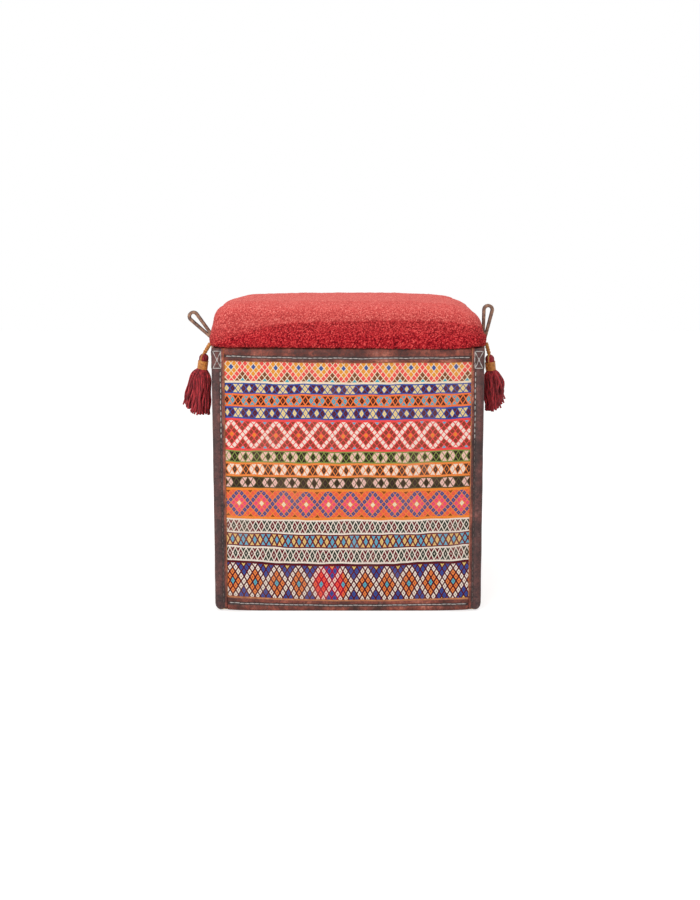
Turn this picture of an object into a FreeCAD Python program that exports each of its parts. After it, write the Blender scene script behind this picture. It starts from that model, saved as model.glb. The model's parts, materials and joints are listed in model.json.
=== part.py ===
import FreeCAD
import Part
import Sketcher
import math
import os
import re

# Kilim stool: a plywood box faced with woven kilim and bound in leather, with a lift-off seat covered in
# pile rug, two leather loops and two tassels near the front corners.
# Millimetres, +Z up, the front faces -Y, the origin is on the floor under the middle of the stool.

DRIVING_SIZES = {
    # the box
    "width": 400,
    "depth": 400,
    "rim_height": 396,
    "wall_thickness": 12,
    "base_thickness": 12,
    "post_side": 25,
    "post_drop": 22,
    # the kilim faces and the wadding that swells them
    "kilim_thickness": 3,
    "kilim_crown": 5.5,
    "wadding_edge": 1,
    "wadding_crown": 5,
    "wadding_margin": 2,
    # the leather strips
    "leather_thickness": 2,
    "corner_flange": 19,
    "corner_round": 6,
    "corner_lift": 3,
    "top_flap": 17,
    "lining_flap": 22,
    "top_round": 4,
    "bottom_flap": 15,
    "bottom_round": 3,
    "seam_gap": 0.2,
    "cloth_thickness": 1,
    # the seat
    "seat_gap": 0.3,
    "seat_overhang": -0.8,
    "cushion_height": 66,
    "cushion_corner": 28,
    "corner_softening": 1.2,
    "tuck_depth": 7,
    "tuck_height": 14,
    "crown_reach": 60,
    "rug_thickness": 6,
    "board_ease": 2,
    "seat_board_thickness": 12,
    "batten_side": 18,
    "batten_depth": 22,
    "batten_clearance": 1.5,
    # the loops and the tabs that they are sewn to
    "tab_thickness": 4,
    "tab_in": 45,
    "tab_width": 22,
    "tab_drop": 28,
    "tab_rise": 9,
    "tab_round": 5,
    "strap_thickness": 3.8,
    "strap_width": 9,
    "loop_length": 49,
    "loop_width": 17.5,
    "loop_root_gap": 0.3,
    "loop_root_radius": 3.6,
    "left_loop_lean": 42,
    "right_loop_lean": 7.5,
    # the tassels
    "tassel_clearance": 0.3,
    "knot_radius": 2.9,
    "knot_rise": 1,
    "tassel_cord_diameter": 4.2,
    "tassel_cord_length": 16,
    "left_cord_lean": 33,
    "right_cord_lean": 18,
    "cord_end_radius": 2.6,
    "left_tassel_lean": 8,
    "right_tassel_lean": 6.8,
    "head_diameter": 14,
    "head_height": 8,
    "neck_diameter": 13,
    "skirt_top_diameter": 17,
    "left_skirt_diameter": 38,
    "right_skirt_diameter": 35,
    "skirt_length": 70,
    "skirt_swell_radius": 200,
    "winding_thickness": 2.1,
    "winding_pitch": 2.6,
    "winding_turns": 4,
    # the screws
    "screw_diameter": 4,
    "screw_head_diameter": 8,
    "screw_length": 32,
    "base_screw_length": 40,
    "batten_screw_length": 30,
    "low_screw_rise": 48,
    "high_screw_drop": 41,
    "screw_stagger": 20,
}

# Distances that follow from the driving sizes. "in" is measured inward from the outer leather plane.
DERIVED_SIZES = {
    "wall_face_in": "leather_thickness + kilim_thickness",
    "wall_back_in": "wall_face_in + wall_thickness",
    "lining_in": "wall_back_in + leather_thickness",
    "batten_face_in": "lining_in + batten_clearance",
    "wall_top": "rim_height - leather_thickness",
    "strip_end_in": "max(corner_flange; lining_in) + seam_gap",
    "seat_bottom": "rim_height + seat_gap",
    "board_bottom": "seat_bottom + rug_thickness",
    "board_top": "board_bottom + seat_board_thickness",
    "post_top": "rim_height - post_drop",
    "low_screw_height": "leather_thickness + base_thickness + low_screw_rise",
    "high_screw_height": "post_top - high_screw_drop",
    "post_middle_in": "wall_back_in + post_side / 2",
    "loop_root_height": "rim_height + tab_rise + loop_root_gap + loop_root_radius",
    "knot_out": "tab_thickness + tassel_clearance + knot_radius",
    "neck_top": "cord_end_radius + tassel_clearance + head_height",
    "skirt_top": "neck_top + winding_pitch * winding_turns + winding_thickness",
    "skirt_bottom": "skirt_top + skirt_length",
    "tab_middle_in": "tab_in + tab_width / 2",
}

# Each side is drawn with +X along it, +Y inward from its outer leather plane, then turned into place.
SIDES = {
    "front": {"turn": 0, "run": "width", "base": ("0", "-depth / 2")},
    "right": {"turn": 90, "run": "depth", "base": ("width / 2", "0")},
    "back": {"turn": 180, "run": "width", "base": ("0", "depth / 2")},
    "left": {"turn": 270, "run": "depth", "base": ("-width / 2", "0")},
}
CORNERS = {"front_left": (-1, -1), "front_right": (1, -1), "back_right": (1, 1), "back_left": (-1, 1)}
UP = FreeCAD.Vector(0, 0, 1)

doc = FreeCAD.newDocument("kilim_stool")
sheet = doc.addObject("Spreadsheet::Sheet", "Sizes")
for row, (alias, value) in enumerate(DRIVING_SIZES.items(), start=1):
    sheet.set(f"A{row}", alias)
    sheet.set(f"B{row}", str(value))
    sheet.setAlias(f"B{row}", alias)
doc.recompute()
sub_parts = []


def formula(text):
    """The text with every size name turned into its cell, for an expression."""
    def cell(match):
        name = match.group(0)
        if name in DERIVED_SIZES:
            return f"({formula(DERIVED_SIZES[name])})"
        return f"Sizes.{name}" if name in DRIVING_SIZES else name
    return re.sub(r"[a-z_]+", cell, text)


def number(text):
    return float(sheet.evalExpression(formula(text)))


def bind(thing, **settings):
    for name, text in settings.items():
        thing.setExpression(name.replace("__", "."), formula(text))


def keep(thing, label):
    """Marks a finished sub-part, whose label names its file."""
    thing.Label = label
    sub_parts.append(thing)
    return thing


def new_body(name):
    return doc.addObject("PartDesign::Body", name)


def new_sketch(body, role, lift="0"):
    """A sketch on one of the body's own planes, lifted along that plane's normal."""
    sketch = body.newObject("Sketcher::SketchObject", "outline")
    plane = next(item for item in body.Origin.OriginFeatures if item.Role == role)
    sketch.AttachmentSupport = (plane, [""])
    sketch.MapMode = "FlatFace"
    bind(sketch, AttachmentOffset__Base__z=lift)
    return sketch


def draw_outline(sketch, corners):
    """A closed outline through the corners, each (x, y), or (x, y, radius) where an arc of that radius follows.
    A positive radius turns left."""
    places = [FreeCAD.Vector(number(c[0]), number(c[1]), 0) for c in corners]
    count = len(corners)
    ends = []
    for index in range(count):
        start = places[index]
        end = places[(index + 1) % count]
        if len(corners[index]) == 2:
            ends.append((sketch.addGeometry(Part.LineSegment(start, end)), 1, 2))
            continue
        radius = number(corners[index][2])
        half_chord = (end - start) / 2
        reach = math.sqrt(max(radius ** 2 - half_chord.Length ** 2, 0))
        across = UP.cross(half_chord.normalize())
        centre = (start + end) / 2 + across * math.copysign(reach, radius)
        first, last = (start, end) if radius > 0 else (end, start)
        angles = [math.atan2(p.y - centre.y, p.x - centre.x) for p in (first, last)]
        circle = Part.Circle(centre, UP, abs(radius))
        arc = sketch.addGeometry(Part.ArcOfCircle(circle, *angles))
        ends.append((arc, 1, 2) if radius > 0 else (arc, 2, 1))
        hold = sketch.addConstraint(Sketcher.Constraint("Radius", arc, abs(radius)))
        sign = "" if radius > 0 else "-"
        bind(sketch, **{f"Constraints[{hold}]": f"{sign}({corners[index][2]})"})
    for index in range(count):
        line, _, tail = ends[index]
        next_line, head, _ = ends[(index + 1) % count]
        sketch.addConstraint(Sketcher.Constraint("Coincident", line, tail, next_line, head))
    for index, corner in enumerate(corners):
        line, point, _ = ends[index]
        for kind, text in zip(("DistanceX", "DistanceY"), corner):
            hold = sketch.addConstraint(Sketcher.Constraint(kind, -1, 1, line, point, number(text)))
            bind(sketch, **{f"Constraints[{hold}]": text})


def rectangle(left, right, low, high):
    return [(left, low), (right, low), (right, high), (left, high)]


def rounded_square(half_x, half_y, radius):
    straight_x = f"({half_x} - ({radius}))"
    straight_y = f"({half_y} - ({radius}))"
    return [
        (f"-{straight_x}", f"-({half_y})"),
        (straight_x, f"-({half_y})", radius),
        (half_x, f"-{straight_y}"),
        (half_x, straight_y, radius),
        (straight_x, half_y),
        (f"-{straight_x}", half_y, radius),
        (f"-({half_x})", straight_y),
        (f"-({half_x})", f"-{straight_y}", radius),
    ]


def pad(body, sketch, length, both_ways=False):
    feature = body.newObject("PartDesign::Pad", "pad")
    feature.Profile = sketch
    feature.SideType = "Symmetric" if both_ways else "One side"
    bind(feature, Length=length)
    return feature


def revolve(body, sketch):
    feature = body.newObject("PartDesign::Revolution", "turned")
    feature.Profile = sketch
    feature.ReferenceAxis = (sketch, ["V_Axis"])
    feature.Angle = 360
    return feature


def loft(body, sketches):
    feature = body.newObject("PartDesign::AdditiveLoft", "loft")
    feature.Profile = sketches[0]
    feature.Sections = sketches[1:]
    feature.Ruled = True
    return feature


def cut(name, blank, tool):
    feature = doc.addObject("Part::Cut", name)
    feature.Base = blank
    feature.Tool = tool
    return feature


def place_on_side(thing, side):
    thing.Placement = FreeCAD.Placement(FreeCAD.Vector(), FreeCAD.Rotation(UP, side["turn"]))
    bind(thing, Placement__Base__x=side["base"][0], Placement__Base__y=side["base"][1])


def slab(name, half_run, face_in, back_in, low, high):
    """A flat board or sheet of one side, from the face to the back and from low to high."""
    body = new_body(name)
    sketch = new_sketch(body, "XY_Plane", low)
    draw_outline(sketch, rectangle(f"-({half_run})", half_run, face_in, back_in))
    pad(body, sketch, f"{high} - ({low})")
    return body


def crowned_slab(name, half_run, back_in, edge, crown, low, high):
    """A pad with a flat back whose face swells by the crown, along the side and up it."""
    half_rise = f"(({high}) - ({low})) / 2"
    along = new_body(f"{name}_along")
    sketch = new_sketch(along, "XY_Plane", low)
    sagitta_radius = "(({0}) ^ 2 + ({1}) ^ 2) / (2 * ({1}))"
    draw_outline(sketch, [
        (f"-({half_run})", f"{back_in} - ({edge})", sagitta_radius.format(half_run, crown)),
        (half_run, f"{back_in} - ({edge})"),
        (half_run, back_in),
        (f"-({half_run})", back_in),
    ])
    pad(along, sketch, f"{high} - ({low})")
    upward = new_body(f"{name}_upward")
    sketch = new_sketch(upward, "YZ_Plane")
    draw_outline(sketch, [
        (f"{back_in} - ({edge})", high, sagitta_radius.format(half_rise, crown)),
        (f"{back_in} - ({edge})", low),
        (back_in, low),
        (back_in, high),
    ])
    pad(upward, sketch, f"2 * ({half_run})", both_ways=True)
    common = doc.addObject("Part::Common", name)
    common.Base = along
    common.Tool = upward
    return common


def countersunk_screw(length):
    """One screw along -Z with its flat head at the origin."""
    head = number("screw_head_diameter") / 2
    shank = number("screw_diameter") / 2
    reach = number(length)
    profile = [(0, 0), (head, 0), (shank, shank - head), (shank, shank - reach), (0, -reach)]
    wire = Part.makePolygon([FreeCAD.Vector(x, 0, z) for x, z in profile + profile[:1]])
    return Part.Face(wire).revolve(FreeCAD.Vector(), UP, 360)


def screw_group(name, length, places):
    """Identical screws as separate solids, each at a place with its head turned to the given direction."""
    screw = countersunk_screw(length)
    copies = []
    for place, outward in places:
        copy = screw.copy()
        copy.Placement = FreeCAD.Placement(place, FreeCAD.Rotation(UP, outward))
        copies.append(copy)
    group = doc.addObject("Part::Feature", name)
    group.Shape = Part.makeCompound(copies)
    return keep(group, name)


def wall_screw_places():
    """Two screws through each wall into each of its posts, staggered where they meet in a post."""
    places = []
    across = number("width / 2 - post_middle_in")
    along = number("depth / 2 - post_middle_in")
    face_x = number("width / 2 - wall_face_in")
    face_y = number("depth / 2 - wall_face_in")
    for side_x, side_y in CORNERS.values():
        for height in ("low_screw_height", "high_screw_height"):
            z = number(height)
            staggered = number(f"{height} + screw_stagger")
            front = FreeCAD.Vector(side_x * across, side_y * face_y, z)
            flank = FreeCAD.Vector(side_x * face_x, side_y * along, staggered)
            places.append((front, FreeCAD.Vector(0, side_y, 0)))
            places.append((flank, FreeCAD.Vector(side_x, 0, 0)))
    return places


def base_screw_places():
    across = number("width / 2 - post_middle_in")
    along = number("depth / 2 - post_middle_in")
    height = number("leather_thickness")
    return [(FreeCAD.Vector(x * across, y * along, height), -UP) for x, y in CORNERS.values()]


def batten_screw_places():
    """Two screws up through each batten into the seat board, a quarter of the way from its ends."""
    height = number("board_bottom - batten_depth")
    across = number("width / 2 - batten_face_in - batten_side / 2")
    along = number("depth / 2 - batten_face_in - batten_side / 2")
    places = []
    for step in (-1, 1):
        for sign in (-1, 1):
            places.append((FreeCAD.Vector(step * across / 2, sign * along, height), -UP))
            places.append((FreeCAD.Vector(sign * across, step * along / 2, height), -UP))
    return places


def make_box(wall_screws, base_screws):
    """The plywood walls, the base board and the corner posts, drilled for their screws."""
    for name, side in SIDES.items():
        # the front and back walls run past the ends of the other two
        end_in = "wall_face_in" if side["run"] == "width" else "wall_back_in"
        blank = slab(f"wall_{name}_blank", f"{side['run']} / 2 - {end_in}", "wall_face_in",
                     "wall_back_in", "leather_thickness", "wall_top")
        place_on_side(blank, side)
        keep(cut(f"wall_{name}", blank, wall_screws), f"wall_{name}")
    blank = new_body("base_board_blank")
    sketch = new_sketch(blank, "XY_Plane", "leather_thickness")
    half_x = "width / 2 - wall_back_in"
    half_y = "depth / 2 - wall_back_in"
    draw_outline(sketch, rectangle(f"-({half_x})", half_x, f"-({half_y})", half_y))
    pad(blank, sketch, "base_thickness")
    keep(cut("base_board", blank, base_screws), "base_board")
    both = doc.addObject("Part::Compound", "post_screws")
    both.Links = [wall_screws, base_screws]
    for name, (side_x, side_y) in CORNERS.items():
        blank = new_body(f"corner_post_{name}_blank")
        sketch = new_sketch(blank, "XY_Plane", "leather_thickness + base_thickness")
        near_x = f"{side_x} * (width / 2 - wall_back_in - post_side)"
        near_y = f"{side_y} * (depth / 2 - wall_back_in - post_side)"
        far_x = f"{side_x} * (width / 2 - wall_back_in)"
        far_y = f"{side_y} * (depth / 2 - wall_back_in)"
        draw_outline(sketch, rectangle(near_x, far_x, near_y, far_y))
        pad(blank, sketch, "post_top - leather_thickness - base_thickness")
        keep(cut(f"corner_post_{name}", blank, both), f"corner_post_{name}")


def make_faces():
    """Each wall's wadding and the kilim pulled over it, swelling between the leather strips."""
    for name, side in SIDES.items():
        half = f"{side['run']} / 2 - corner_flange"
        wadding = crowned_slab(f"wadding_{name}", f"{half} - wadding_margin", "wall_face_in", "wadding_edge",
                               "wadding_crown", "bottom_flap + wadding_margin",
                               "rim_height - top_flap - wadding_margin")
        place_on_side(wadding, side)
        keep(wadding, f"wadding_{name}")
        sheet_body = slab(f"kilim_{name}_sheet", f"{side['run']} / 2 - corner_round", "leather_thickness",
                          "wall_face_in", "leather_thickness", "wall_top")
        swell = crowned_slab(f"kilim_{name}_swell", half, "wall_face_in", "kilim_thickness", "kilim_crown",
                             "bottom_flap", "rim_height - top_flap")
        blank = doc.addObject("Part::Fuse", f"kilim_{name}_blank")
        blank.Base = sheet_body
        blank.Tool = swell
        place_on_side(blank, side)
        keep(cut(f"kilim_{name}", blank, wadding), f"kilim_{name}")


def make_strips():
    """The leather strips folded over the rim, under the bottom edge and round the upright corners."""
    for name, side in SIDES.items():
        length = f"{side['run']} - 2 * strip_end_in"
        body = new_body(f"top_binding_{name}")
        sketch = new_sketch(body, "YZ_Plane")
        draw_outline(sketch, [
            ("0", "rim_height - top_flap"),
            ("leather_thickness", "rim_height - top_flap"),
            ("leather_thickness", "wall_top"),
            ("wall_back_in", "wall_top"),
            ("wall_back_in", "rim_height - lining_flap"),
            ("lining_in", "rim_height - lining_flap"),
            ("lining_in", "rim_height"),
            ("top_round", "rim_height", "top_round"),
            ("0", "rim_height - top_round"),
        ])
        pad(body, sketch, length, both_ways=True)
        place_on_side(body, side)
        keep(body, f"top_binding_{name}")
        body = new_body(f"bottom_binding_{name}")
        sketch = new_sketch(body, "YZ_Plane")
        draw_outline(sketch, [
            ("0", "bottom_round", "bottom_round"),
            ("bottom_round", "0"),
            ("corner_flange - seam_gap", "0"),
            ("corner_flange - seam_gap", "leather_thickness"),
            ("leather_thickness", "leather_thickness"),
            ("leather_thickness", "bottom_flap"),
            ("0", "bottom_flap"),
        ])
        pad(body, sketch, length, both_ways=True)
        place_on_side(body, side)
        keep(body, f"bottom_binding_{name}")
    for name, (side_x, side_y) in CORNERS.items():
        # drawn for the front left corner, with its outer corner at the origin, then turned into place
        body = new_body(f"corner_binding_{name}")
        sketch = new_sketch(body, "XY_Plane", "corner_lift")
        draw_outline(sketch, [
            ("0", "corner_round", "corner_round"),
            ("corner_round", "0"),
            ("corner_flange", "0"),
            ("corner_flange", "leather_thickness"),
            ("corner_round", "leather_thickness", "-(corner_round - leather_thickness)"),
            ("leather_thickness", "corner_round"),
            ("leather_thickness", "corner_flange"),
            ("0", "corner_flange"),
        ])
        pad(body, sketch, "rim_height - corner_lift")
        sketch = new_sketch(body, "XY_Plane", "wall_top")
        draw_outline(sketch, [
            ("0", "corner_round", "corner_round"),
            ("corner_round", "0"),
            ("corner_flange", "0"),
            ("corner_flange", "corner_flange"),
            ("0", "corner_flange"),
        ])
        pad(body, sketch, "leather_thickness")
        quarter_turn = {(-1, -1): 0, (1, -1): 90, (1, 1): 180, (-1, 1): 270}[(side_x, side_y)]
        body.Placement = FreeCAD.Placement(FreeCAD.Vector(), FreeCAD.Rotation(UP, quarter_turn))
        bind(body, Placement__Base__x=f"{side_x} * width / 2", Placement__Base__y=f"{side_y} * depth / 2")
        keep(body, f"corner_binding_{name}")


def make_base_cloth():
    """The cotton cloth under the base, inside the folded strips."""
    body = new_body("base_cloth")
    sketch = new_sketch(body, "XY_Plane", "leather_thickness - cloth_thickness")
    half_x = "width / 2 - corner_flange"
    half_y = "depth / 2 - corner_flange"
    draw_outline(sketch, rectangle(f"-({half_x})", half_x, f"-({half_y})", half_y))
    pad(body, sketch, "cloth_thickness")
    keep(body, "base_cloth")


def cushion_section(body, height, inset):
    """One level outline of the cushion, whose corners soften as it draws in."""
    sketch = new_sketch(body, "XY_Plane", height)
    half_x = f"(width / 2 + seat_overhang - ({inset}))"
    half_y = f"(depth / 2 + seat_overhang - ({inset}))"
    draw_outline(sketch, rounded_square(half_x, half_y, f"(cushion_corner + corner_softening * ({inset}))"))
    return sketch


def crown_levels():
    """Heights over the tuck and insets along the cushion's shoulder and crown, as shares of the rise and reach."""
    fullness = 0.6
    for angle in (0, 20, 38, 55, 72, 90):
        turn = math.radians(angle)
        rise = math.sin(turn) ** fullness
        reach = 1 - max(math.cos(turn), 0) ** fullness
        yield round(rise, 4), round(reach, 4), round(math.sin(turn), 4)


def make_seat(batten_screws):
    """The lift-off seat: rug over foam and a plywood board, with battens that locate it in the box."""
    form = new_body("seat_form")
    levels = [cushion_section(form, "seat_bottom", "tuck_depth")]
    levels.append(cushion_section(form, "seat_bottom + tuck_height / 3", "tuck_depth / 4"))
    for rise, reach, _ in crown_levels():
        height = f"seat_bottom + tuck_height + {rise} * (cushion_height - tuck_height)"
        levels.append(cushion_section(form, height, f"{reach} * crown_reach"))
    loft(form, levels)

    foam = new_body("seat_foam")
    levels = [cushion_section(foam, "board_top", "rug_thickness + board_ease")]
    for rise, reach, slope in list(crown_levels())[1:]:
        height = f"seat_bottom + tuck_height + {rise} * (cushion_height - tuck_height) - {slope} * rug_thickness"
        levels.append(cushion_section(foam, height, f"rug_thickness + {reach} * crown_reach"))
    loft(foam, levels)
    keep(foam, "seat_foam")

    blank = new_body("seat_board_blank")
    sketch = cushion_section(blank, "board_bottom", "rug_thickness + board_ease")
    pad(blank, sketch, "seat_board_thickness")
    keep(cut("seat_board", blank, batten_screws), "seat_board")

    opening = new_body("seat_opening")
    sketch = new_sketch(opening, "XY_Plane", "seat_bottom - seat_gap")
    half_x = "width / 2 - lining_in"
    half_y = "depth / 2 - lining_in"
    draw_outline(sketch, rectangle(f"-({half_x})", half_x, f"-({half_y})", half_y))
    pad(opening, sketch, "rug_thickness + 2 * seat_gap")
    filling = doc.addObject("Part::MultiFuse", "seat_filling")
    filling.Shapes = [foam, blank, opening]
    keep(cut("seat_cover", form, filling), "seat_cover")

    for name, side in SIDES.items():
        end_in = "batten_face_in" if side["run"] == "width" else "batten_face_in + batten_side"
        blank = slab(f"seat_batten_{name}_blank", f"{side['run']} / 2 - ({end_in})", "batten_face_in",
                     "batten_face_in + batten_side", "board_bottom - batten_depth", "board_bottom")
        place_on_side(blank, side)
        keep(cut(f"seat_batten_{name}", blank, batten_screws), f"seat_batten_{name}")


def teardrop(foot, foot_height, radius, middle):
    """The outline of a loop: two legs from the feet, tangent to a round top of the given radius and middle."""
    rise = f"({middle} - ({foot_height}))"
    slant = f"(atan2({rise}; {foot}) - acos({radius} / hypot({rise}; {foot})))"
    touch_x = f"({radius}) * cos({slant})"
    touch_z = f"{middle} - ({radius}) * sin({slant})"
    return [
        (f"-({foot})", foot_height),
        (foot, foot_height),
        (touch_x, touch_z, radius),
        ("0", f"{middle} + {radius}", radius),
        (f"-({touch_x})", touch_z),
    ]


def make_loop(name, sign):
    """A leather strap bent into a loop on a round root, and the doubled tab under it, sewn to the rim strip."""
    tab = new_body(f"loop_tab_{name}")
    sketch = new_sketch(tab, "YZ_Plane")
    front = "-depth / 2 + tab_in"
    rear = "-depth / 2 + tab_in + tab_width"
    low = "rim_height - tab_drop"
    high = "rim_height + tab_rise"
    draw_outline(sketch, [
        (f"{front} + tab_round", low),
        (f"{rear} - tab_round", low, "tab_round"),
        (rear, f"{low} + tab_round"),
        (rear, f"{high} - tab_round", "tab_round"),
        (f"{rear} - tab_round", high),
        (f"{front} + tab_round", high, "tab_round"),
        (front, f"{high} - tab_round"),
        (front, f"{low} + tab_round", "tab_round"),
    ])
    pad(tab, sketch, "tab_thickness").Reversed = sign < 0
    bind(tab, Placement__Base__x=f"{sign} * width / 2")
    keep(tab, f"loop_tab_{name}")

    loop = new_body(f"loop_{name}")
    sketch = new_sketch(loop, "XZ_Plane")
    middle = "loop_length - loop_width / 2"
    draw_outline(sketch, teardrop("strap_thickness + loop_root_gap / 2", "0", "loop_width / 2", middle))
    draw_outline(sketch, teardrop("loop_root_gap / 2", "loop_root_radius", "(loop_width / 2 - strap_thickness)",
                                  middle))
    pad(loop, sketch, "strap_width", both_ways=True)
    sketch = new_sketch(loop, "XZ_Plane")
    root = sketch.addGeometry(Part.Circle(FreeCAD.Vector(), UP, number("loop_root_radius")))
    sketch.addConstraint(Sketcher.Constraint("Coincident", root, 3, -1, 1))
    hold = sketch.addConstraint(Sketcher.Constraint("Radius", root, number("loop_root_radius")))
    bind(sketch, **{f"Constraints[{hold}]": "loop_root_radius"})
    pad(loop, sketch, "strap_width", both_ways=True)
    lean_outward(loop, sign, f"{name}_loop_lean")
    bind(loop, Placement__Base__x=f"{sign} * (width / 2 + tab_thickness)",
         Placement__Base__y="-depth / 2 + tab_middle_in", Placement__Base__z="loop_root_height")
    keep(loop, f"loop_{name}")


def lean_outward(thing, sign, lean):
    """Turns a piece about the front-to-back direction, so that its upper end leans away from the stool."""
    thing.Placement = FreeCAD.Placement(FreeCAD.Vector(), FreeCAD.Rotation(FreeCAD.Vector(0, sign, 0), 1))
    bind(thing, Placement__Rotation__Angle=lean)


def helix_wire(radius, pitch, turns, top):
    """A helix down from the top, as one arc for each quarter turn, with a short straight run at each end."""
    def place(quarters):
        angle = quarters * math.pi / 2
        return FreeCAD.Vector(radius * math.cos(angle), radius * math.sin(angle), top - pitch * quarters / 4)

    quarters = round(4 * turns)
    arcs = [Part.Arc(place(n), place(n + 0.5), place(n + 1)) for n in range(quarters)]
    tail = number("winding_thickness")
    lead_in = arcs[0].tangent(arcs[0].FirstParameter)[0] * tail
    lead_out = arcs[-1].tangent(arcs[-1].LastParameter)[0] * tail
    first_run = Part.LineSegment(place(0) - lead_in, place(0))
    last_run = Part.LineSegment(place(quarters), place(quarters) + lead_out)
    return Part.Wire([run.toShape() for run in (first_run, *arcs, last_run)])


def winding_shape():
    """The gold winding round the tassel's neck, one unbroken tube, in the tassel's own frame."""
    thickness = number("winding_thickness")
    radius = number("neck_diameter / 2 + winding_thickness / 2")
    top = number("-neck_top - winding_thickness / 2")
    path = helix_wire(radius, number("winding_pitch"), number("winding_turns"), top)
    start = path.Edges[0]
    ring = Part.Circle(start.Vertexes[0].Point, start.tangentAt(start.FirstParameter), thickness / 2)
    print("winding: gap between turns", round(number("winding_pitch") - thickness, 2))
    return path.makePipeShell([Part.Wire(ring.toShape())], True, False)


def make_tassel(name, sign):
    """A gold cord on the tab, and the bundle of yarn that hangs from it with a winding round its neck."""
    cord = new_body(f"tassel_cord_{name}")
    sketch = new_sketch(cord, "XZ_Plane")
    neck_in_knot = "sqrt(knot_radius ^ 2 - (tassel_cord_diameter / 2) ^ 2)"
    neck_in_end = "sqrt(cord_end_radius ^ 2 - (tassel_cord_diameter / 2) ^ 2)"
    draw_outline(sketch, [
        ("0", "-tassel_cord_length - cord_end_radius", "cord_end_radius"),
        ("cord_end_radius", "-tassel_cord_length", "cord_end_radius"),
        ("tassel_cord_diameter / 2", f"-tassel_cord_length + {neck_in_end}"),
        ("tassel_cord_diameter / 2", f"-{neck_in_knot}", "knot_radius"),
        ("knot_radius", "0", "knot_radius"),
        ("0", "knot_radius"),
    ])
    revolve(cord, sketch)
    lean_outward(cord, -sign, f"{name}_cord_lean")
    bind(cord, Placement__Base__x=f"{sign} * (width / 2 + knot_out)",
         Placement__Base__y="-depth / 2 + tab_middle_in", Placement__Base__z="rim_height + knot_rise")
    keep(cord, f"tassel_cord_{name}")

    yarn = new_body(f"tassel_yarn_{name}")
    sketch = new_sketch(yarn, "XZ_Plane")
    draw_outline(sketch, [
        ("0", "-skirt_bottom"),
        (f"{name}_skirt_diameter / 2", "-skirt_bottom", "skirt_swell_radius"),
        ("skirt_top_diameter / 2", "-skirt_top"),
        ("neck_diameter / 2", "-skirt_top"),
        ("neck_diameter / 2", "-neck_top"),
        ("head_diameter / 2", "-neck_top + head_height / 3"),
        ("head_diameter / 2", "-neck_top + 2 * head_height / 3"),
        ("head_diameter / 4", "-neck_top + head_height"),
        ("0", "-neck_top + head_height"),
    ])
    revolve(yarn, sketch)
    winding = doc.addObject("Part::Feature", f"tassel_winding_{name}")
    winding.Shape = winding_shape()
    cord_reach = f"tassel_cord_length * sin({name}_cord_lean * 1 deg)"
    cord_fall = f"tassel_cord_length * cos({name}_cord_lean * 1 deg)"
    for piece in (yarn, winding):
        lean_outward(piece, -sign, f"{name}_tassel_lean")
        bind(piece, Placement__Base__x=f"{sign} * (width / 2 + knot_out + {cord_reach})",
             Placement__Base__y="-depth / 2 + tab_middle_in",
             Placement__Base__z=f"rim_height + knot_rise - {cord_fall}")
    keep(yarn, f"tassel_yarn_{name}")
    keep(winding, f"tassel_winding_{name}")


def main():
    wall_screws = screw_group("wall_screws", "screw_length", wall_screw_places())
    base_screws = screw_group("base_screws", "base_screw_length", base_screw_places())
    batten_screws = screw_group("batten_screws", "batten_screw_length", batten_screw_places())
    make_box(wall_screws, base_screws)
    make_faces()
    make_strips()
    make_base_cloth()
    make_seat(batten_screws)
    for name, sign in (("left", -1), ("right", 1)):
        make_loop(name, sign)
        make_tassel(name, sign)
    doc.recompute()
    for item in doc.Objects:
        if "Invalid" in item.State or "Error" in item.State:
            raise RuntimeError(f"{item.Label} was not made: {item.State}")
    for item in sub_parts:
        if item.Shape.isNull() or not item.Shape.isValid():
            raise RuntimeError(f"{item.Label} has no valid shape")
    os.makedirs("parts", exist_ok=True)
    for item in sub_parts:
        item.Shape.exportStep(f"parts/{item.Label}.step")
    print(len(sub_parts), "sub-parts")


main()
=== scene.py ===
import bmesh
import bpy
import json
import math
import random
from mathutils import Matrix, Vector, noise


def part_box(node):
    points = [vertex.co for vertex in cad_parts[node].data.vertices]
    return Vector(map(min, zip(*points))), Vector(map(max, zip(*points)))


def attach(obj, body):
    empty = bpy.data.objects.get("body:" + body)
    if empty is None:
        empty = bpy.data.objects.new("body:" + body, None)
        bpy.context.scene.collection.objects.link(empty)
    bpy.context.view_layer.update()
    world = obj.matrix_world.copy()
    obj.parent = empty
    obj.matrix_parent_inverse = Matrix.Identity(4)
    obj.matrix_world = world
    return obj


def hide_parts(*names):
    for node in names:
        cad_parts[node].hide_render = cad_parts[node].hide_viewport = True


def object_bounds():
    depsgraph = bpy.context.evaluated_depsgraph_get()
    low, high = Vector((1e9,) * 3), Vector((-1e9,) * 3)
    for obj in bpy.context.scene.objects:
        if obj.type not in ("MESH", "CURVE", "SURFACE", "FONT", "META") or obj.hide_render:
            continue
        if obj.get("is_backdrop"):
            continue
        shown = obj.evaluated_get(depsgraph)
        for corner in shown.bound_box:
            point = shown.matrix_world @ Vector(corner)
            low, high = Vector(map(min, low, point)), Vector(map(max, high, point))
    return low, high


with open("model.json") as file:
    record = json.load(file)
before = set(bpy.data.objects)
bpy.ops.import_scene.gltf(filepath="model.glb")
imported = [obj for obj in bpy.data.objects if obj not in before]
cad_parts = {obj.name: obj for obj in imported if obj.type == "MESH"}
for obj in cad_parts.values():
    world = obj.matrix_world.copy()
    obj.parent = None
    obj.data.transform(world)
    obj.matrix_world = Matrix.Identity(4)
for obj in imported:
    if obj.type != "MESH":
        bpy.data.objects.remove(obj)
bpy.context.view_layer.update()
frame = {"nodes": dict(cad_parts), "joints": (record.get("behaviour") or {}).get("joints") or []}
nodes = frame["nodes"]
mm = 0.001
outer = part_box("corner_binding_front_right")[1][0]   # outer face of the leather
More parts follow.
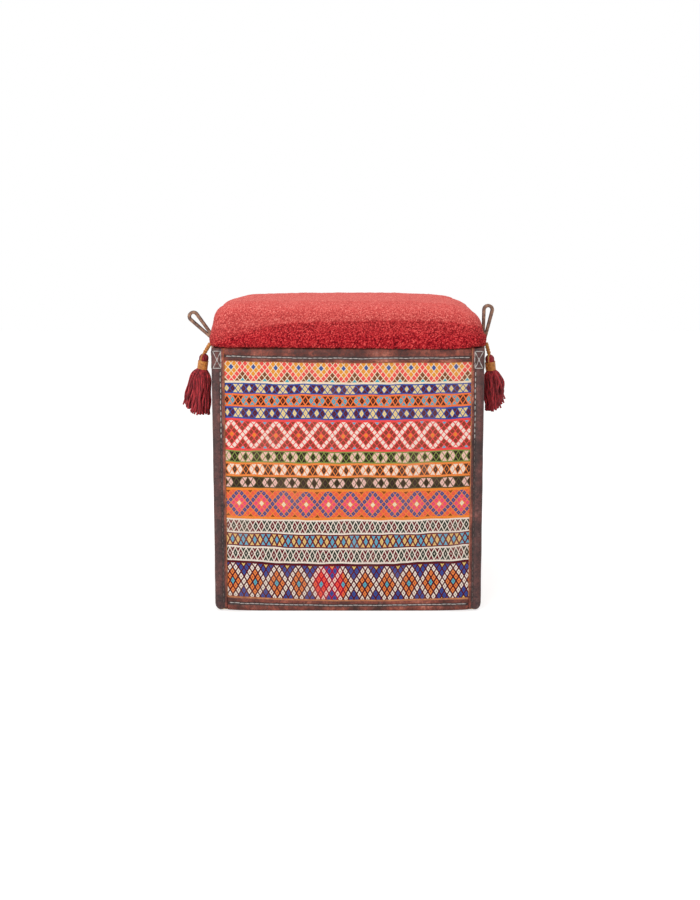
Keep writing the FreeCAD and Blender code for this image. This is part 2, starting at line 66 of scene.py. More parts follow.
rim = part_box("top_binding_front")[1][2]
sideTurn = {"front": 0, "right": 90, "back": 180, "left": 270}
cornerTurn = {"front_left": 0, "front_right": 90, "back_right": 180, "back_left": 270}
print("frame loaded,", len(nodes), "nodes")


def linear(hexText):
    channels = [int(hexText[i:i + 2], 16) / 255 for i in (1, 3, 5)]
    return [c / 12.92 if c <= 0.04045 else ((c + 0.055) / 1.055) ** 2.4 for c in channels] + [1.0]


def clamp(value):
    return min(1.0, max(0.0, value))


def addNode(tree, kind, links=None, **settings):
    node = tree.nodes.new("ShaderNode" + kind)
    for key, value in settings.items():
        setattr(node, key, value)
    for socket, value in (links or {}).items():
        if isinstance(socket, str):
            target = next(s for s in node.inputs if s.name == socket and s.enabled)
        else:
            target = node.inputs[socket]
        if isinstance(value, bpy.types.Node):
            value = next(s for s in value.outputs if s.enabled)
        if isinstance(value, bpy.types.NodeSocket):
            tree.links.new(value, target)
        else:
            target.default_value = value
    return node


def newMaterial(name):
    material = bpy.data.materials.new(name)
    material.use_nodes = True
    tree = material.node_tree
    tree.nodes.clear()
    shader = addNode(tree, "BsdfPrincipled")
    addNode(tree, "OutputMaterial", {"Surface": shader})
    return material, tree, shader


def blendStops(ramp, stops):
    while len(ramp.elements) < len(stops):
        ramp.elements.new(0.5)
    for element, (place, hexText) in zip(ramp.elements, stops):
        element.position = place
        element.color = linear(hexText)


# bands of the weave from the rim down: lower edge in mm, rows of half diamonds each way from the middle,
# plain border, where a motif's middle falls, line width, how clear the mark in a cell's middle is,
# lattice colour, the motif's ring colours
weave = {
    "motif": 33.0, "halfCells": 8, "rings": 5, "eye": 0.12, "faceHalf": 181.0, "top": 390.0,
    "drift": 35.714 * mm, "wander": 4.2 * mm,           # size of the stretches that stray, and how far
    "sagLow": (60.0, 7.5), "sagHigh": (150.0, 2.4),     # mm up, mm that a band hangs in the middle
    "dye": 1.6667 * mm, "uneven": (0.80, 1.08), "patch": 71.43 * mm, "fade": 0.22, "fadedTo": "#c09a86",
    "ranCells": "#fb4146", "ranLines": "#a91a30",       # where red dye has run
    "weft": 1.4, "ribs": 0.6 * mm,                      # mm between threads, height of their ribs
    "bands": [
        (343.0, 4, 3.0, -6.4, 0.085, 0.05, "#f4e0c2",
         ["#3d559c", "#ee9a38", "#f2564f", "#86462b", "#41aabf"]),
        (327.6, 1, 1.7, -13.0, 0.09, 0.3, "#2f55a6", ["#f1d58f", "#5f2529", "#f1d58f"]),
        (308.6, 1, 2.7, -12.8, 0.12, 0.4, "#f57a3e", ["#371d1d", "#4fabc0", "#371d1d"]),
        (290.7, 1, 2.2, -12.6, 0.09, 0.3, "#2f55a6", ["#f1d58f", "#5f2529", "#f1d58f"]),
        (243.4, 4, 3.5, -6.8, 0.11, 0.2, "#f4504f", ["#ec8b33", "#8a4331", "#f4e7d9", "#8a4331", "#47b0ca"]),
        (225.7, 1, 1.7, 14.2, 0.09, 0.4, "#86964a", ["#362523", "#f3c4b6", "#362523"]),
        (204.6, 1, 3.0, -2.6, 0.09, 0.4, "#f48a44", ["#4b362e", "#f6e4d4", "#4b362e"]),
        (187.4, 1, 1.6, 16.2, 0.09, 0.4, "#5d5433", ["#3a2a25", "#f2c3b8", "#3a2a25"]),
        (140.8, 4, 4.0, 3.6, 0.09, 0.25, "#f48c38", ["#f2e2c4", "#f2507a", "#46528d", "#f2604c", "#874126"]),
        (118.5, 1, 2.4, -5.2, 0.095, 0.7, "#f0e4d6", ["#33382f", "#6b2028", "#33382f"]),
        (97.4, 1, 2.0, -6.9, 0.15, 0.4, "#6f242d", ["#66b4d0", "#efc77c", "#66b4d0"]),
        (73.5, 1, 2.6, -3.4, 0.095, 0.7, "#f0e4d6", ["#33382f", "#6b2028", "#33382f"]),
        (8.0, 4, 4.0, -7.6, 0.145, 0.75, "#5b1a24", ["#5ab8cc", "#f68a48", "#f6e8da", "#3757a4", "#efcd78"]),
    ],
}


# flat woven wool: bands of small diamonds drawn by a fine lattice, a little uneven and faded
def kilimMaterial():
    material, tree, shader = newMaterial("kilim_wool_flat_woven")
    uv = addNode(tree, "UVMap", uv_map="face")
    drift = addNode(tree, "TexNoise", {"Vector": uv, "Scale": 1 / weave["drift"], "Detail": 1.0})
    half = (0.5, 0.5, 0.5)
    centred = addNode(tree, "VectorMath", {0: drift.outputs["Color"], 1: half}, operation="SUBTRACT")
    stray = (weave["wander"], weave["wander"], 0.0)
    shaken = addNode(tree, "VectorMath", {0: centred, 1: stray, 2: uv}, operation="MULTIPLY_ADD")
    inMm = addNode(tree, "VectorMath", {0: shaken, 3: 1 / mm}, operation="SCALE")
    place = addNode(tree, "SeparateXYZ", {0: inMm})
    across, up = place.outputs["X"], place.outputs["Y"]

    # the bands hang lower in the middle of a face, most of all near the bottom
    (low, lowSag), (high, highSag) = weave["sagLow"], weave["sagHigh"]
    sag = addNode(tree, "MapRange", {"Value": up, 1: low, 2: high, 3: lowSag, 4: highSag})
    share = addNode(tree, "Math", {0: across, 1: weave["faceHalf"]}, operation="DIVIDE")
    square = addNode(tree, "Math", {0: share, 1: share}, operation="MULTIPLY")
    pull = addNode(tree, "Math", {0: sag, 1: square}, operation="MULTIPLY")
    height = addNode(tree, "Math", {0: up, 1: pull}, operation="SUBTRACT")

    rows = limits = lattices = rings = None
    top = weave["top"]
    for bottom, count, border, phase, line, mark, lattice, colours in weave["bands"]:
        reach = (top - bottom) / 2 - border
        sizes = ((top + bottom) / 2, count / reach, phase)
        edges = (reach, 0.5 - line, mark)
        colours = colours + [colours[-1]] * (weave["rings"] - len(colours))
        if rows is None:
            rows, limits, lattices = sizes, edges, linear(lattice)
            rings = [linear(c) for c in colours]
        else:
            below = addNode(tree, "Math", {0: height, 1: top}, operation="LESS_THAN")
            rows = addNode(tree, "Mix", {"Factor": below, "A": rows, "B": sizes}, data_type="VECTOR")
            limits = addNode(tree, "Mix", {"Factor": below, "A": limits, "B": edges}, data_type="VECTOR")
            lattices = addNode(tree, "Mix", {"Factor": below, "A": lattices, "B": linear(lattice)},
                               data_type="RGBA")
            rings = [addNode(tree, "Mix", {"Factor": below, "A": old, "B": linear(new)}, data_type="RGBA")
                     for old, new in zip(rings, colours)]
        top = bottom
    band = addNode(tree, "SeparateXYZ", {0: rows})
    limit = addNode(tree, "SeparateXYZ", {0: limits})

    # slanting coordinates, in which each diamond is one square cell
    shift = addNode(tree, "Attribute", attribute_name="shift")
    moved = addNode(tree, "Math", {0: across, 1: shift.outputs["Fac"]}, operation="ADD")
    fromMiddle = addNode(tree, "Math", {0: moved, 1: band.outputs["Z"]}, operation="SUBTRACT")
    halfCell = weave["motif"] / weave["halfCells"]
    sidewise = addNode(tree, "Math", {0: fromMiddle, 1: halfCell}, operation="DIVIDE")
    fromCentre = addNode(tree, "Math", {0: height, 1: band.outputs["X"]}, operation="SUBTRACT")
    upward = addNode(tree, "Math", {0: fromCentre, 1: band.outputs["Y"]}, operation="MULTIPLY")
    cells, offsets = [], []
    for operation in ("ADD", "SUBTRACT"):
        mixed = addNode(tree, "Math", {0: sidewise, 1: upward}, operation=operation)
        slant = addNode(tree, "Math", {0: mixed, 1: 0.5}, operation="MULTIPLY")
        cell = addNode(tree, "Math", {0: slant}, operation="ROUND")
        off = addNode(tree, "Math", {0: slant, 1: cell}, operation="SUBTRACT")
        cells.append(cell)
        offsets.append(addNode(tree, "Math", {0: off}, operation="ABSOLUTE"))
    column = addNode(tree, "Math", {0: cells[0], 1: cells[1]}, operation="ADD")
    turnBack = weave["halfCells"] / 2
    wrapped = addNode(tree, "Math", {0: column, 1: turnBack, 2: -turnBack}, operation="WRAP")
    row = addNode(tree, "Math", {0: cells[0], 1: cells[1]}, operation="SUBTRACT")
    columnsOut = addNode(tree, "Math", {0: wrapped}, operation="ABSOLUTE")
    rowsOut = addNode(tree, "Math", {0: row}, operation="ABSOLUTE")
    both = addNode(tree, "Math", {0: columnsOut, 1: rowsOut}, operation="ADD")
    ringColour = rings[0]
    for ring in range(1, weave["rings"]):
        further = addNode(tree, "Math", {0: both, 1: 2 * ring - 1.0}, operation="GREATER_THAN")
        ringColour = addNode(tree, "Mix", {"Factor": further, "A": ringColour, "B": rings[ring]},
                             data_type="RGBA")

    edge = addNode(tree, "Math", {0: offsets[0], 1: offsets[1]}, operation="MAXIMUM")
    onLine = addNode(tree, "Math", {0: edge, 1: limit.outputs["Y"]}, operation="GREATER_THAN")
    away = addNode(tree, "Math", {0: fromCentre}, operation="ABSOLUTE")
    onBorder = addNode(tree, "Math", {0: away, 1: limit.outputs["X"]}, operation="GREATER_THAN")
    drawn = addNode(tree, "Math", {0: onLine, 1: onBorder}, operation="MAXIMUM")
    inEye = addNode(tree, "Math", {0: edge, 1: weave["eye"]}, operation="LESS_THAN")
    eye = addNode(tree, "Math", {0: inEye, 1: limit.outputs["Z"]}, operation="MULTIPLY")
    marked = addNode(tree, "Math", {0: drawn, 1: eye}, operation="MAXIMUM")
    pattern = addNode(tree, "Mix", {"Factor": marked, "A": ringColour, "B": lattices}, data_type="RGBA")

    # uneven dye, the stain, fading, and the ribs of the weft
    dye = addNode(tree, "TexNoise", {"Vector": uv, "Scale": 1 / weave["dye"], "Detail": 2.0})
    weak, strong = weave["uneven"]
    strength = addNode(tree, "MapRange", {"Value": dye, 1: 0.3, 2: 0.7, 3: weak, 4: strong})
    dyed = addNode(tree, "VectorMath", {0: pattern, 3: strength}, operation="SCALE")
    bled = addNode(tree, "Attribute", attribute_name="bled")
    warm = addNode(tree, "VectorMath", {0: dyed, 1: (1.0, 0.0, -1.0)}, operation="DOT_PRODUCT")
    takes = addNode(tree, "Math", {0: warm, 1: drawn}, operation="MAXIMUM")     # blues keep their colour
    soaked = addNode(tree, "Math", {0: bled.outputs["Fac"], 1: takes}, operation="MULTIPLY", use_clamp=True)
    runReds = {"A": linear(weave["ranCells"]), "B": linear(weave["ranLines"])}
    reds = addNode(tree, "Mix", {"Factor": drawn, **runReds}, data_type="RGBA")
    ran = addNode(tree, "Mix", {"Factor": soaked, "A": dyed, "B": reds}, data_type="RGBA")
    patches = addNode(tree, "TexNoise", {"Vector": uv, "Scale": 1 / weave["patch"], "Detail": 4.0})
    faded = addNode(tree, "MapRange", {"Value": patches, 1: 0.5, 2: 0.75, 3: 0.0, 4: weave["fade"]})
    pale = linear(weave["fadedTo"])
    colour = addNode(tree, "Mix", {"Factor": faded, "A": ran, "B": pale}, data_type="RGBA")
    weft = addNode(tree, "Math", {0: up, 1: 2 * math.pi / weave["weft"]}, operation="MULTIPLY")
    ridge = addNode(tree, "Math", {0: weft}, operation="SINE")
    relief = addNode(tree, "Math", {0: ridge, 1: 0.5, 2: dye}, operation="MULTIPLY_ADD")
    bump = addNode(tree, "Bump", {"Height": relief, "Strength": 0.5, "Distance": weave["ribs"]})
    tree.links.new(colour.outputs[2], shader.inputs["Base Color"])
    tree.links.new(bump.outputs[0], shader.inputs["Normal"])
    shader.inputs["Roughness"].default_value = 0.9
    shader.inputs["Specular IOR Level"].default_value = 0.15
    return material


# colour by uneven dye in three tones, with a fine bump of one scale: the plainer materials share this
def tonedMaterial(name, stops, patch, grain, depth, roughness, stretch=(1, 1, 1), metallic=0.0, sheen=0.0):
    material, tree, shader = newMaterial(name)
    coords = addNode(tree, "TexCoord")
    spread = addNode(tree, "Mapping", {"Vector": coords.outputs["Object"], "Scale": stretch})
    tone = addNode(tree, "TexNoise", {"Vector": spread, "Scale": 1 / patch, "Detail": 5.0, "Roughness": 0.62})
    ramp = addNode(tree, "ValToRGB", {"Fac": tone})
    blendStops(ramp.color_ramp, stops)
    fine = addNode(tree, "TexNoise", {"Vector": spread, "Scale": 1 / grain, "Detail": 3.0})
    bump = addNode(tree, "Bump", {"Height": fine, "Strength": 0.6, "Distance": depth})
    rough = addNode(tree, "MapRange", {"Value": tone, 1: 0.3, 2: 0.7, 3: roughness[0], 4: roughness[1]})
    tree.links.new(ramp.outputs["Color"], shader.inputs["Base Color"])
    tree.links.new(bump.outputs[0], shader.inputs["Normal"])
    tree.links.new(rough.outputs[0], shader.inputs["Roughness"])
    shader.inputs["Metallic"].default_value = metallic
    shader.inputs["Sheen Weight"].default_value = sheen
    return material


# sizes of one patch, crease, grey spot of scuffs and painted highlight, and pore
tanned = {"patch": 33.333 * mm, "crease": 4.3478 * mm, "scuffAndHighlightSpot": 9.0909 * mm, "pore": 1.42857 * mm,
          "relief": 0.7 * mm, "scuffAndHighlightGrey": "#9e7f78"}


# worn vegetable tanned leather: brown to dull red patches, dark creases, grey spots that are partly scuffs
# and partly painted highlight, a soft shine
def leatherMaterial(name, stops, scuffAndHighlightShare):
    material, tree, shader = newMaterial(name)
    coords = addNode(tree, "TexCoord")
    spot = coords.outputs["Object"]
    patches = addNode(tree, "TexNoise", {"Vector": spot, "Scale": 1 / tanned["patch"], "Detail": 6.0,
                                         "Roughness": 0.65})
    ramp = addNode(tree, "ValToRGB", {"Fac": patches})
    blendStops(ramp.color_ramp, stops)
    creases = addNode(tree, "TexNoise", {"Vector": spot, "Scale": 1 / tanned["crease"], "Detail": 5.0,
                                         "Distortion": 1.2})
    dark = addNode(tree, "MapRange", {"Value": creases, 1: 0.32, 2: 0.62, 3: 0.45, 4: 1.2})
    lined = addNode(tree, "VectorMath", {0: ramp.outputs["Color"], 3: dark}, operation="SCALE")
    rubbedAndLit = addNode(tree, "TexNoise", {"Vector": spot, "Scale": 1 / tanned["scuffAndHighlightSpot"], "Detail": 6.0,
                                        "Roughness": 0.7})
    # grey spots: partly scuffs, partly painted highlight
    scuffAndHighlightMask = addNode(tree, "MapRange", {"Value": rubbedAndLit, 1: 0.56, 2: 0.76, 3: 0.0, 4: scuffAndHighlightShare})
    grey = linear(tanned["scuffAndHighlightGrey"])
    colour = addNode(tree, "Mix", {"Factor": scuffAndHighlightMask, "A": lined, "B": grey}, data_type="RGBA")
    pores = addNode(tree, "TexVoronoi", {"Vector": spot, "Scale": 1 / tanned["pore"]},
                    feature="DISTANCE_TO_EDGE")
    relief = addNode(tree, "Math", {0: pores, 1: 0.5, 2: creases}, operation="MULTIPLY_ADD")
    bump = addNode(tree, "Bump", {"Height": relief, "Strength": 0.6, "Distance": tanned["relief"]})
    rough = addNode(tree, "MapRange", {"Value": creases, 1: 0.3, 2: 0.7, 3: 0.42, 4: 0.66})
    tree.links.new(colour.outputs[2], shader.inputs["Base Color"])
    tree.links.new(bump.outputs[0], shader.inputs["Normal"])
    tree.links.new(rough.outputs[0], shader.inputs["Roughness"])
    shader.inputs["Specular IOR Level"].default_value = 0.4
    return material


# pile colours: the side ramp darkens into painted shade between the tufts; the top ramp is paler, partly wear
# and partly painted light on the top
rugPile = {"clump": 1.7857 * mm, "gapShade": 2.3, "fibre": 1.1111 * mm, "relief": 0.8 * mm,
           "sides": [(0.14, "#640613"), (0.40, "#a51924"), (0.62, "#c62e33"), (0.88, "#e65a55")],
           "wornLitTop": [(0.10, "#b13e3d"), (0.40, "#cb514d"), (0.62, "#d6605a"), (0.90, "#ea8d82")]}


# short wool pile: deep crimson with painted shade in the gaps between tufts on the sides; paler and smoother
# on top, partly from wear and partly painted light where the top faces the lamps
def pileMaterial():
    material, tree, shader = newMaterial("rug_wool_cut_pile")
    coords = addNode(tree, "TexCoord")
    spot = coords.outputs["Object"]
    tuft = addNode(tree, "Attribute", attribute_name="pile")
    # share of the pile painted paler: wear and painted top light
    top = addNode(tree, "Attribute", attribute_name="wear_and_top_light")
    clumps = addNode(tree, "TexNoise", {"Vector": spot, "Scale": 1 / rugPile["clump"], "Detail": 3.0,
                                        "Roughness": 0.7})
    # painted shade between the tufts, lighter at their tips
    lift = addNode(tree, "Math", {0: clumps, 1: 0.5}, operation="SUBTRACT")
    depth = addNode(tree, "Math", {0: lift, 1: rugPile["gapShade"], 2: tuft.outputs["Fac"]},
                    operation="MULTIPLY_ADD")
    tones = []
    for part in ("sides", "wornLitTop"):
        ramp = addNode(tree, "ValToRGB", {"Fac": depth})
        blendStops(ramp.color_ramp, rugPile[part])
        tones.append(ramp.outputs["Color"])
    colour = addNode(tree, "Mix", {"Factor": top.outputs["Fac"], "A": tones[0], "B": tones[1]},
                     data_type="RGBA")
    fibres = addNode(tree, "TexNoise", {"Vector": spot, "Scale": 1 / rugPile["fibre"], "Detail": 2.0})
    bump = addNode(tree, "Bump", {"Height": fibres, "Strength": 0.7, "Distance": rugPile["relief"]})
    tree.links.new(colour.outputs[2], shader.inputs["Base Color"])
    tree.links.new(bump.outputs[0], shader.inputs["Normal"])
    shader.inputs["Roughness"].default_value = 0.95
    shader.inputs["Specular IOR Level"].default_value = 0.1
    shader.inputs["Sheen Weight"].default_value = 0.12
    shader.inputs["Sheen Roughness"].default_value = 0.45
    shader.inputs["Sheen Tint"].default_value = linear("#ffb4a8")
    return material


kilim = kilimMaterial()
# dark hide of the uprights and tabs, dull red where it is worn
leather = leatherMaterial("leather_brown_worn", [
    (0.30, "#2d1d1d"), (0.46, "#482e2d"), (0.58, "#613a37"), (0.72, "#845048")], scuffAndHighlightShare=0.45)
# strips that hands and feet have rubbed, redder and paler
rubbedLeather = leatherMaterial("leather_red_brown_rubbed", [
    (0.32, "#2c120e"), (0.46, "#5f2c23"), (0.57, "#8c4637"), (0.70, "#c07863")], scuffAndHighlightShare=0.35)
# hide of the loops, darkest, with few grey spots of scuffs and painted highlight; on the faces along the
# seams it is painted shade in the stitch grooves
darkLeatherAndGrooveShade = leatherMaterial("leather_brown_dark_and_groove_shade", [
    (0.30, "#271818"), (0.46, "#3a2725"), (0.58, "#4f3330"), (0.72, "#69443f")], scuffAndHighlightShare=0.2)
pile = pileMaterial()
# raw cut edge of the hide, tan and matt
rawEdge = tonedMaterial("leather_tan_cut_edge", [(0.3, "#8a4f33"), (0.5, "#b06c44"), (0.7, "#c98a5c")],
                        patch=6 * mm, grain=0.8 * mm, depth=0.3 * mm, roughness=(0.6, 0.8))
# waxed linen sewing thread, greyish and faintly shiny
thread = tonedMaterial("thread_linen_waxed", [(0.3, "#9c9592"), (0.5, "#bdb6b2"), (0.7, "#d8d2cd")],
                       patch=3 * mm, grain=0.5 * mm, depth=0.2 * mm, roughness=(0.5, 0.7))
# the same thread where the uprights have gathered dirt, dark and dull
soiledThread = tonedMaterial("thread_linen_soiled", [(0.3, "#3b2f2d"), (0.5, "#5a4b48"), (0.7, "#80706b")],
                             patch=3 * mm, grain=0.5 * mm, depth=0.2 * mm, roughness=(0.6, 0.8))
# dark red wool yarn, dull between the strands and soft at their edges
yarn = tonedMaterial("yarn_wool_dark_red", [(0.36, "#4b050d"), (0.5, "#8c1823"), (0.64, "#c83c42")],
                     patch=2.4 * mm, grain=0.7 * mm, depth=0.4 * mm, roughness=(0.8, 0.95),
                     stretch=(1, 1, 0.12), sheen=0.1)
# edge of the loop straps, darkened by hands
handledEdge = tonedMaterial("leather_brown_burnished_edge",
                            [(0.3, "#4f372e"), (0.5, "#7d5a48"), (0.7, "#ad8468")],
                            patch=5 * mm, grain=0.8 * mm, depth=0.3 * mm, roughness=(0.45, 0.65))
# mercerised gold cord with a silky shine
goldCord = tonedMaterial("cord_cotton_gold", [(0.3, "#9a5a1e"), (0.5, "#c67c32"), (0.7, "#e4a654")],
                         patch=2.5 * mm, grain=0.5 * mm, depth=0.25 * mm, roughness=(0.4, 0.6), sheen=0.2)
# birch plywood, pale with long soft grain
plywood = tonedMaterial("plywood_birch_raw", [(0.3, "#b58d5f"), (0.5, "#caa678"), (0.7, "#dcbf95")],
                        patch=40 * mm, grain=4 * mm, depth=0.12 * mm, roughness=(0.55, 0.7),
                        stretch=(3, 3, 0.35))
# planed pine with stronger, redder grain
pine = tonedMaterial("pine_planed", [(0.3, "#a8763f"), (0.5, "#c79a5e"), (0.7, "#ddb980")],
                     patch=22 * mm, grain=3 * mm, depth=0.15 * mm, roughness=(0.5, 0.65),
                     stretch=(3, 3, 0.3))
# bright zinc plating with small dull spots
zinc = tonedMaterial("steel_zinc_plated", [(0.3, "#9b9a92"), (0.5, "#b5b3aa"), (0.7, "#c9c8c2")],
                     patch=3 * mm, grain=0.6 * mm, depth=0.05 * mm, roughness=(0.3, 0.5), metallic=1.0)
# black cotton dust cloth, matt with a fine slub
cotton = tonedMaterial("cotton_black_plain", [(0.3, "#191718"), (0.5, "#242122"), (0.7, "#302c2d")],
                       patch=12 * mm, grain=0.9 * mm, depth=0.2 * mm, roughness=(0.85, 0.95),
                       stretch=(1, 4, 1))
print("materials ready")


def meshOf(name, bm):
    mesh = bpy.data.meshes.new(name)
    bm.to_mesh(mesh)
    bm.free()
    return mesh


def addObject(name, data):
    holder = bpy.data.objects.new(name, data)
    bpy.context.scene.collection.objects.link(holder)
    return holder


# the mesh that an object's modifiers leave
def evaluated(holder):
    graph = bpy.context.evaluated_depsgraph_get()
    return bpy.data.meshes.new_from_object(holder.evaluated_get(graph))


def placePiece(name, mesh, materials, body, replaced):
    for material in materials:
        mesh.materials.append(material)
    mesh.shade_smooth()
    piece = addObject(name, mesh)
    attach(piece, body)
    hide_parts(*replaced)
    return piece


def finishPiece(name, bm, materials, body, replaced, turn=0):
    bmesh.ops.rotate(bm, verts=bm.verts, cent=(0, 0, 0), matrix=Matrix.Rotation(math.radians(turn), 3, "Z"))
    return placePiece(name, meshOf(name, bm), materials, body, replaced)


# an open outline drawn along a straight run, as hide is cut from a length
def drawAlong(bm, outline, run, count):
    verts = [bm.verts.new(point) for point in outline]
    edges = [bm.edges.new(pair) for pair in zip(verts, verts[1:])]
    bmesh.ops.spin(bm, geom=verts + edges, cent=(0, 0, 0), axis=(0, 0, 1), dvec=Vector(run) / count,
                   angle=0.0, steps=count, use_duplicate=False)


def roundOff(bm, geom, radius, segments, affect="EDGES"):
    return bmesh.ops.bevel(bm, geom=geom, offset=radius, offset_type="OFFSET", segments=segments,
                           profile=0.5, affect=affect, material=-1)


def roundFold(bm, atFold, radius, segments):
    folds = [e for e in bm.edges if atFold(e.verts[0].co) and atFold(e.verts[1].co)]
    roundOff(bm, folds, radius, segments)


def faceOutward(bm, inside):
    bmesh.ops.recalc_face_normals(bm, faces=bm.faces)
    bm.normal_update()
    outward = sum(f.normal.dot(f.calc_center_median() - Vector(inside)) * f.calc_area() for f in bm.faces)
    if outward < 0:
        bmesh.ops.reverse_faces(bm, faces=bm.faces)
    bm.normal_update()


# waves of hand-worked hide, slow and quick ones to a metre, along each point's normal
waves = {"slow": 22, "quick": 60, "quickShare": 0.5}


def ripple(bm, depth, seed):
    bm.normal_update()
    for vert in bm.verts:
        slow = noise.noise(vert.co * waves["slow"] + Vector((seed, 0, 0)))
        quick = noise.noise(vert.co * waves["quick"] + Vector((0, seed, 0)))
        vert.co += vert.normal * (slow + waves["quickShare"] * quick) * depth


# even offset stays off, because it throws spikes at tightly folded ends
def giveBody(piece, thickness):
    wall = piece.modifiers.new("thickness", "SOLIDIFY")
    wall.thickness = thickness
    wall.offset = -1


def thicken(bm, thickness):
    mesh = bpy.data.meshes.new("hide")
    bm.to_mesh(mesh)
    holder = addObject("hide", mesh)
    giveBody(holder, thickness)
    walled = evaluated(holder)
    bpy.data.objects.remove(holder)
    bm.clear()
    bm.from_mesh(walled)


# the seam index carries painted shade in the stitch grooves
layers = {"cut": 1, "thread": 2, "seam": 3, "flank": 4, "soiled": 5}    # material indexes on sewn hide
sewing = {"length": 7.6 * mm, "gap": 0.8 * mm, "thick": 1.3 * mm, "flat": 0.42, "fill": 1.06,
          "stray": 0.3 * mm}


def sewLine(bm, start, end, outward, jitter, fill=sewing["fill"], index=layers["thread"]):
    start, end, outward = Vector(start), Vector(end), Vector(outward)
    run = end - start
    along = run.normalized()
    aside = outward.cross(along)
    count = max(1, round(run.length / (sewing["length"] + sewing["gap"])))
    for k in range(count):
        stray = aside * jitter.uniform(-sewing["stray"], sewing["stray"])
        middle = start + run * ((k + 0.5) / count) + stray
        size = Matrix.Diagonal((sewing["thick"] / 2, sewing["thick"] * sewing["flat"],
                                run.length / count / 2 * fill, 1))
        turn = Matrix((aside, outward, along)).transposed().to_4x4()
        made = bmesh.ops.create_uvsphere(bm, u_segments=8, v_segments=5, radius=1,
                                         matrix=Matrix.Translation(middle) @ turn @ size)
        for face in {f for v in made["verts"] for f in v.link_faces}:
            face.material_index = index


def paintFaces(bm, index, here):
    for face in bm.faces:
        if here(face.calc_center_median()):
            face.material_index = index


hide = 2.0 * mm
tiny = 0.01 * mm                                        # points closer than this are on a fold
# where the thread pulls the hide in; the middle part of each groove is painted shade
groove = {"half": 2.0 * mm, "depth": 1.1 * mm, "thread": 0.2 * mm, "dark": 0.7}
strip = {"end": -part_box("top_binding_front")[0][0], "steps": 60, "runs": 16, "margin": 3 * mm}


# stitches along a strip whose seam bends, in short straight runs
def sewStrip(bm, seamAt, jitter):
    first, length = -strip["end"] + strip["margin"], 2 * (strip["end"] - strip["margin"])
    for k in range(strip["runs"]):
        ends = [first + length * (k + j) / strip["runs"] for j in (0, 1)]
        places = [(x, -outer + groove["thread"], seamAt(x)) for x in ends]
        sewLine(bm, *places, (0, -1, 0), jitter)


# strip folded over the rim: outer flap that hangs lower in the middle, rounded top, lining inside the box
rimStrip = {"flap": 18.2 * mm, "depth": 19 * mm, "lining": 22 * mm, "fold": 3.6 * mm, "seam": 11.4 * mm,
            "sag": 3.6 * mm, "sagRight": 0.3, "waves": 26, "stray": 0.9 * mm, "ripple": 0.6 * mm}
stripHides = [rubbedLeather, rawEdge, thread, darkLeatherAndGrooveShade]


def rimSag(x, seed):
    arch = 1 - (x / strip["end"]) ** 2 * (1 if x < 0 else rimStrip["sagRight"])
    return rimStrip["sag"] * arch + noise.noise((x * rimStrip["waves"], seed, 0)) * rimStrip["stray"]


for side, turn in sideTurn.items():
    bm = bmesh.new()
    low, inner = rim - rimStrip["flap"], -outer + rimStrip["depth"]
    seam, foldLow = rim - rimStrip["seam"], rim - rimStrip["fold"]
    outline = [(-outer + 1.0 * mm, low - 0.4 * mm), (-outer, low + 0.7 * mm), (-outer, seam - groove["half"]),
               (-outer + groove["depth"], seam), (-outer, seam + groove["half"]), (-outer, rim), (inner, rim),
               (inner, rim - 10 * mm), (inner, rim - rimStrip["lining"])]
    drawAlong(bm, [(-strip["end"], *point) for point in outline], (2 * strip["end"], 0, 0), strip["steps"])
    front = -outer + 1 * mm
    dark = groove["half"] * groove["dark"]
    paintFaces(bm, layers["cut"], lambda co: co.y < front and co.z < low + 0.5 * mm)
    # painted shade in the stitch groove
    paintFaces(bm, layers["seam"], lambda co: co.y < front and abs(co.z - seam) < dark)
    for fold in (-outer, inner):
        roundFold(bm, lambda co: co.z > rim - tiny and abs(co.y - fold) < tiny, rimStrip["fold"], 3)
    faceOutward(bm, (0, -outer + 10 * mm, rim - 15 * mm))
    ripple(bm, rimStrip["ripple"], turn)
    for vert in bm.verts:
        if vert.co.y < -outer + 2.5 * mm:
            below = clamp((foldLow - vert.co.z) / (foldLow - seam))
            vert.co.z -= rimSag(vert.co.x, turn) * below
    thicken(bm, hide)
    sewStrip(bm, lambda x: seam - rimSag(x, turn), random.Random(turn + 1))
    finishPiece("leather_rim_" + side, bm, stripHides, "box", ["top_binding_" + side], turn)

# strip folded under the bottom edge; its upper edge and seam rise towards the corners
hemStrip = {"height": 16.8 * mm, "under": 18.8 * mm, "fold": 3 * mm, "seam": 9.0 * mm, "seamShare": 0.62,
            "riseLeft": 7.0 * mm, "riseRight": 4.0 * mm, "lift": 1.8 * mm, "waves": 24, "stray": 0.8 * mm,
            "dents": 0.4 * mm, "dentWaves": (30, 40), "dentFrom": 2 * mm}


def hemRise(x):
    return (x / strip["end"]) ** 2 * (hemStrip["riseLeft"] if x < 0 else hemStrip["riseRight"])


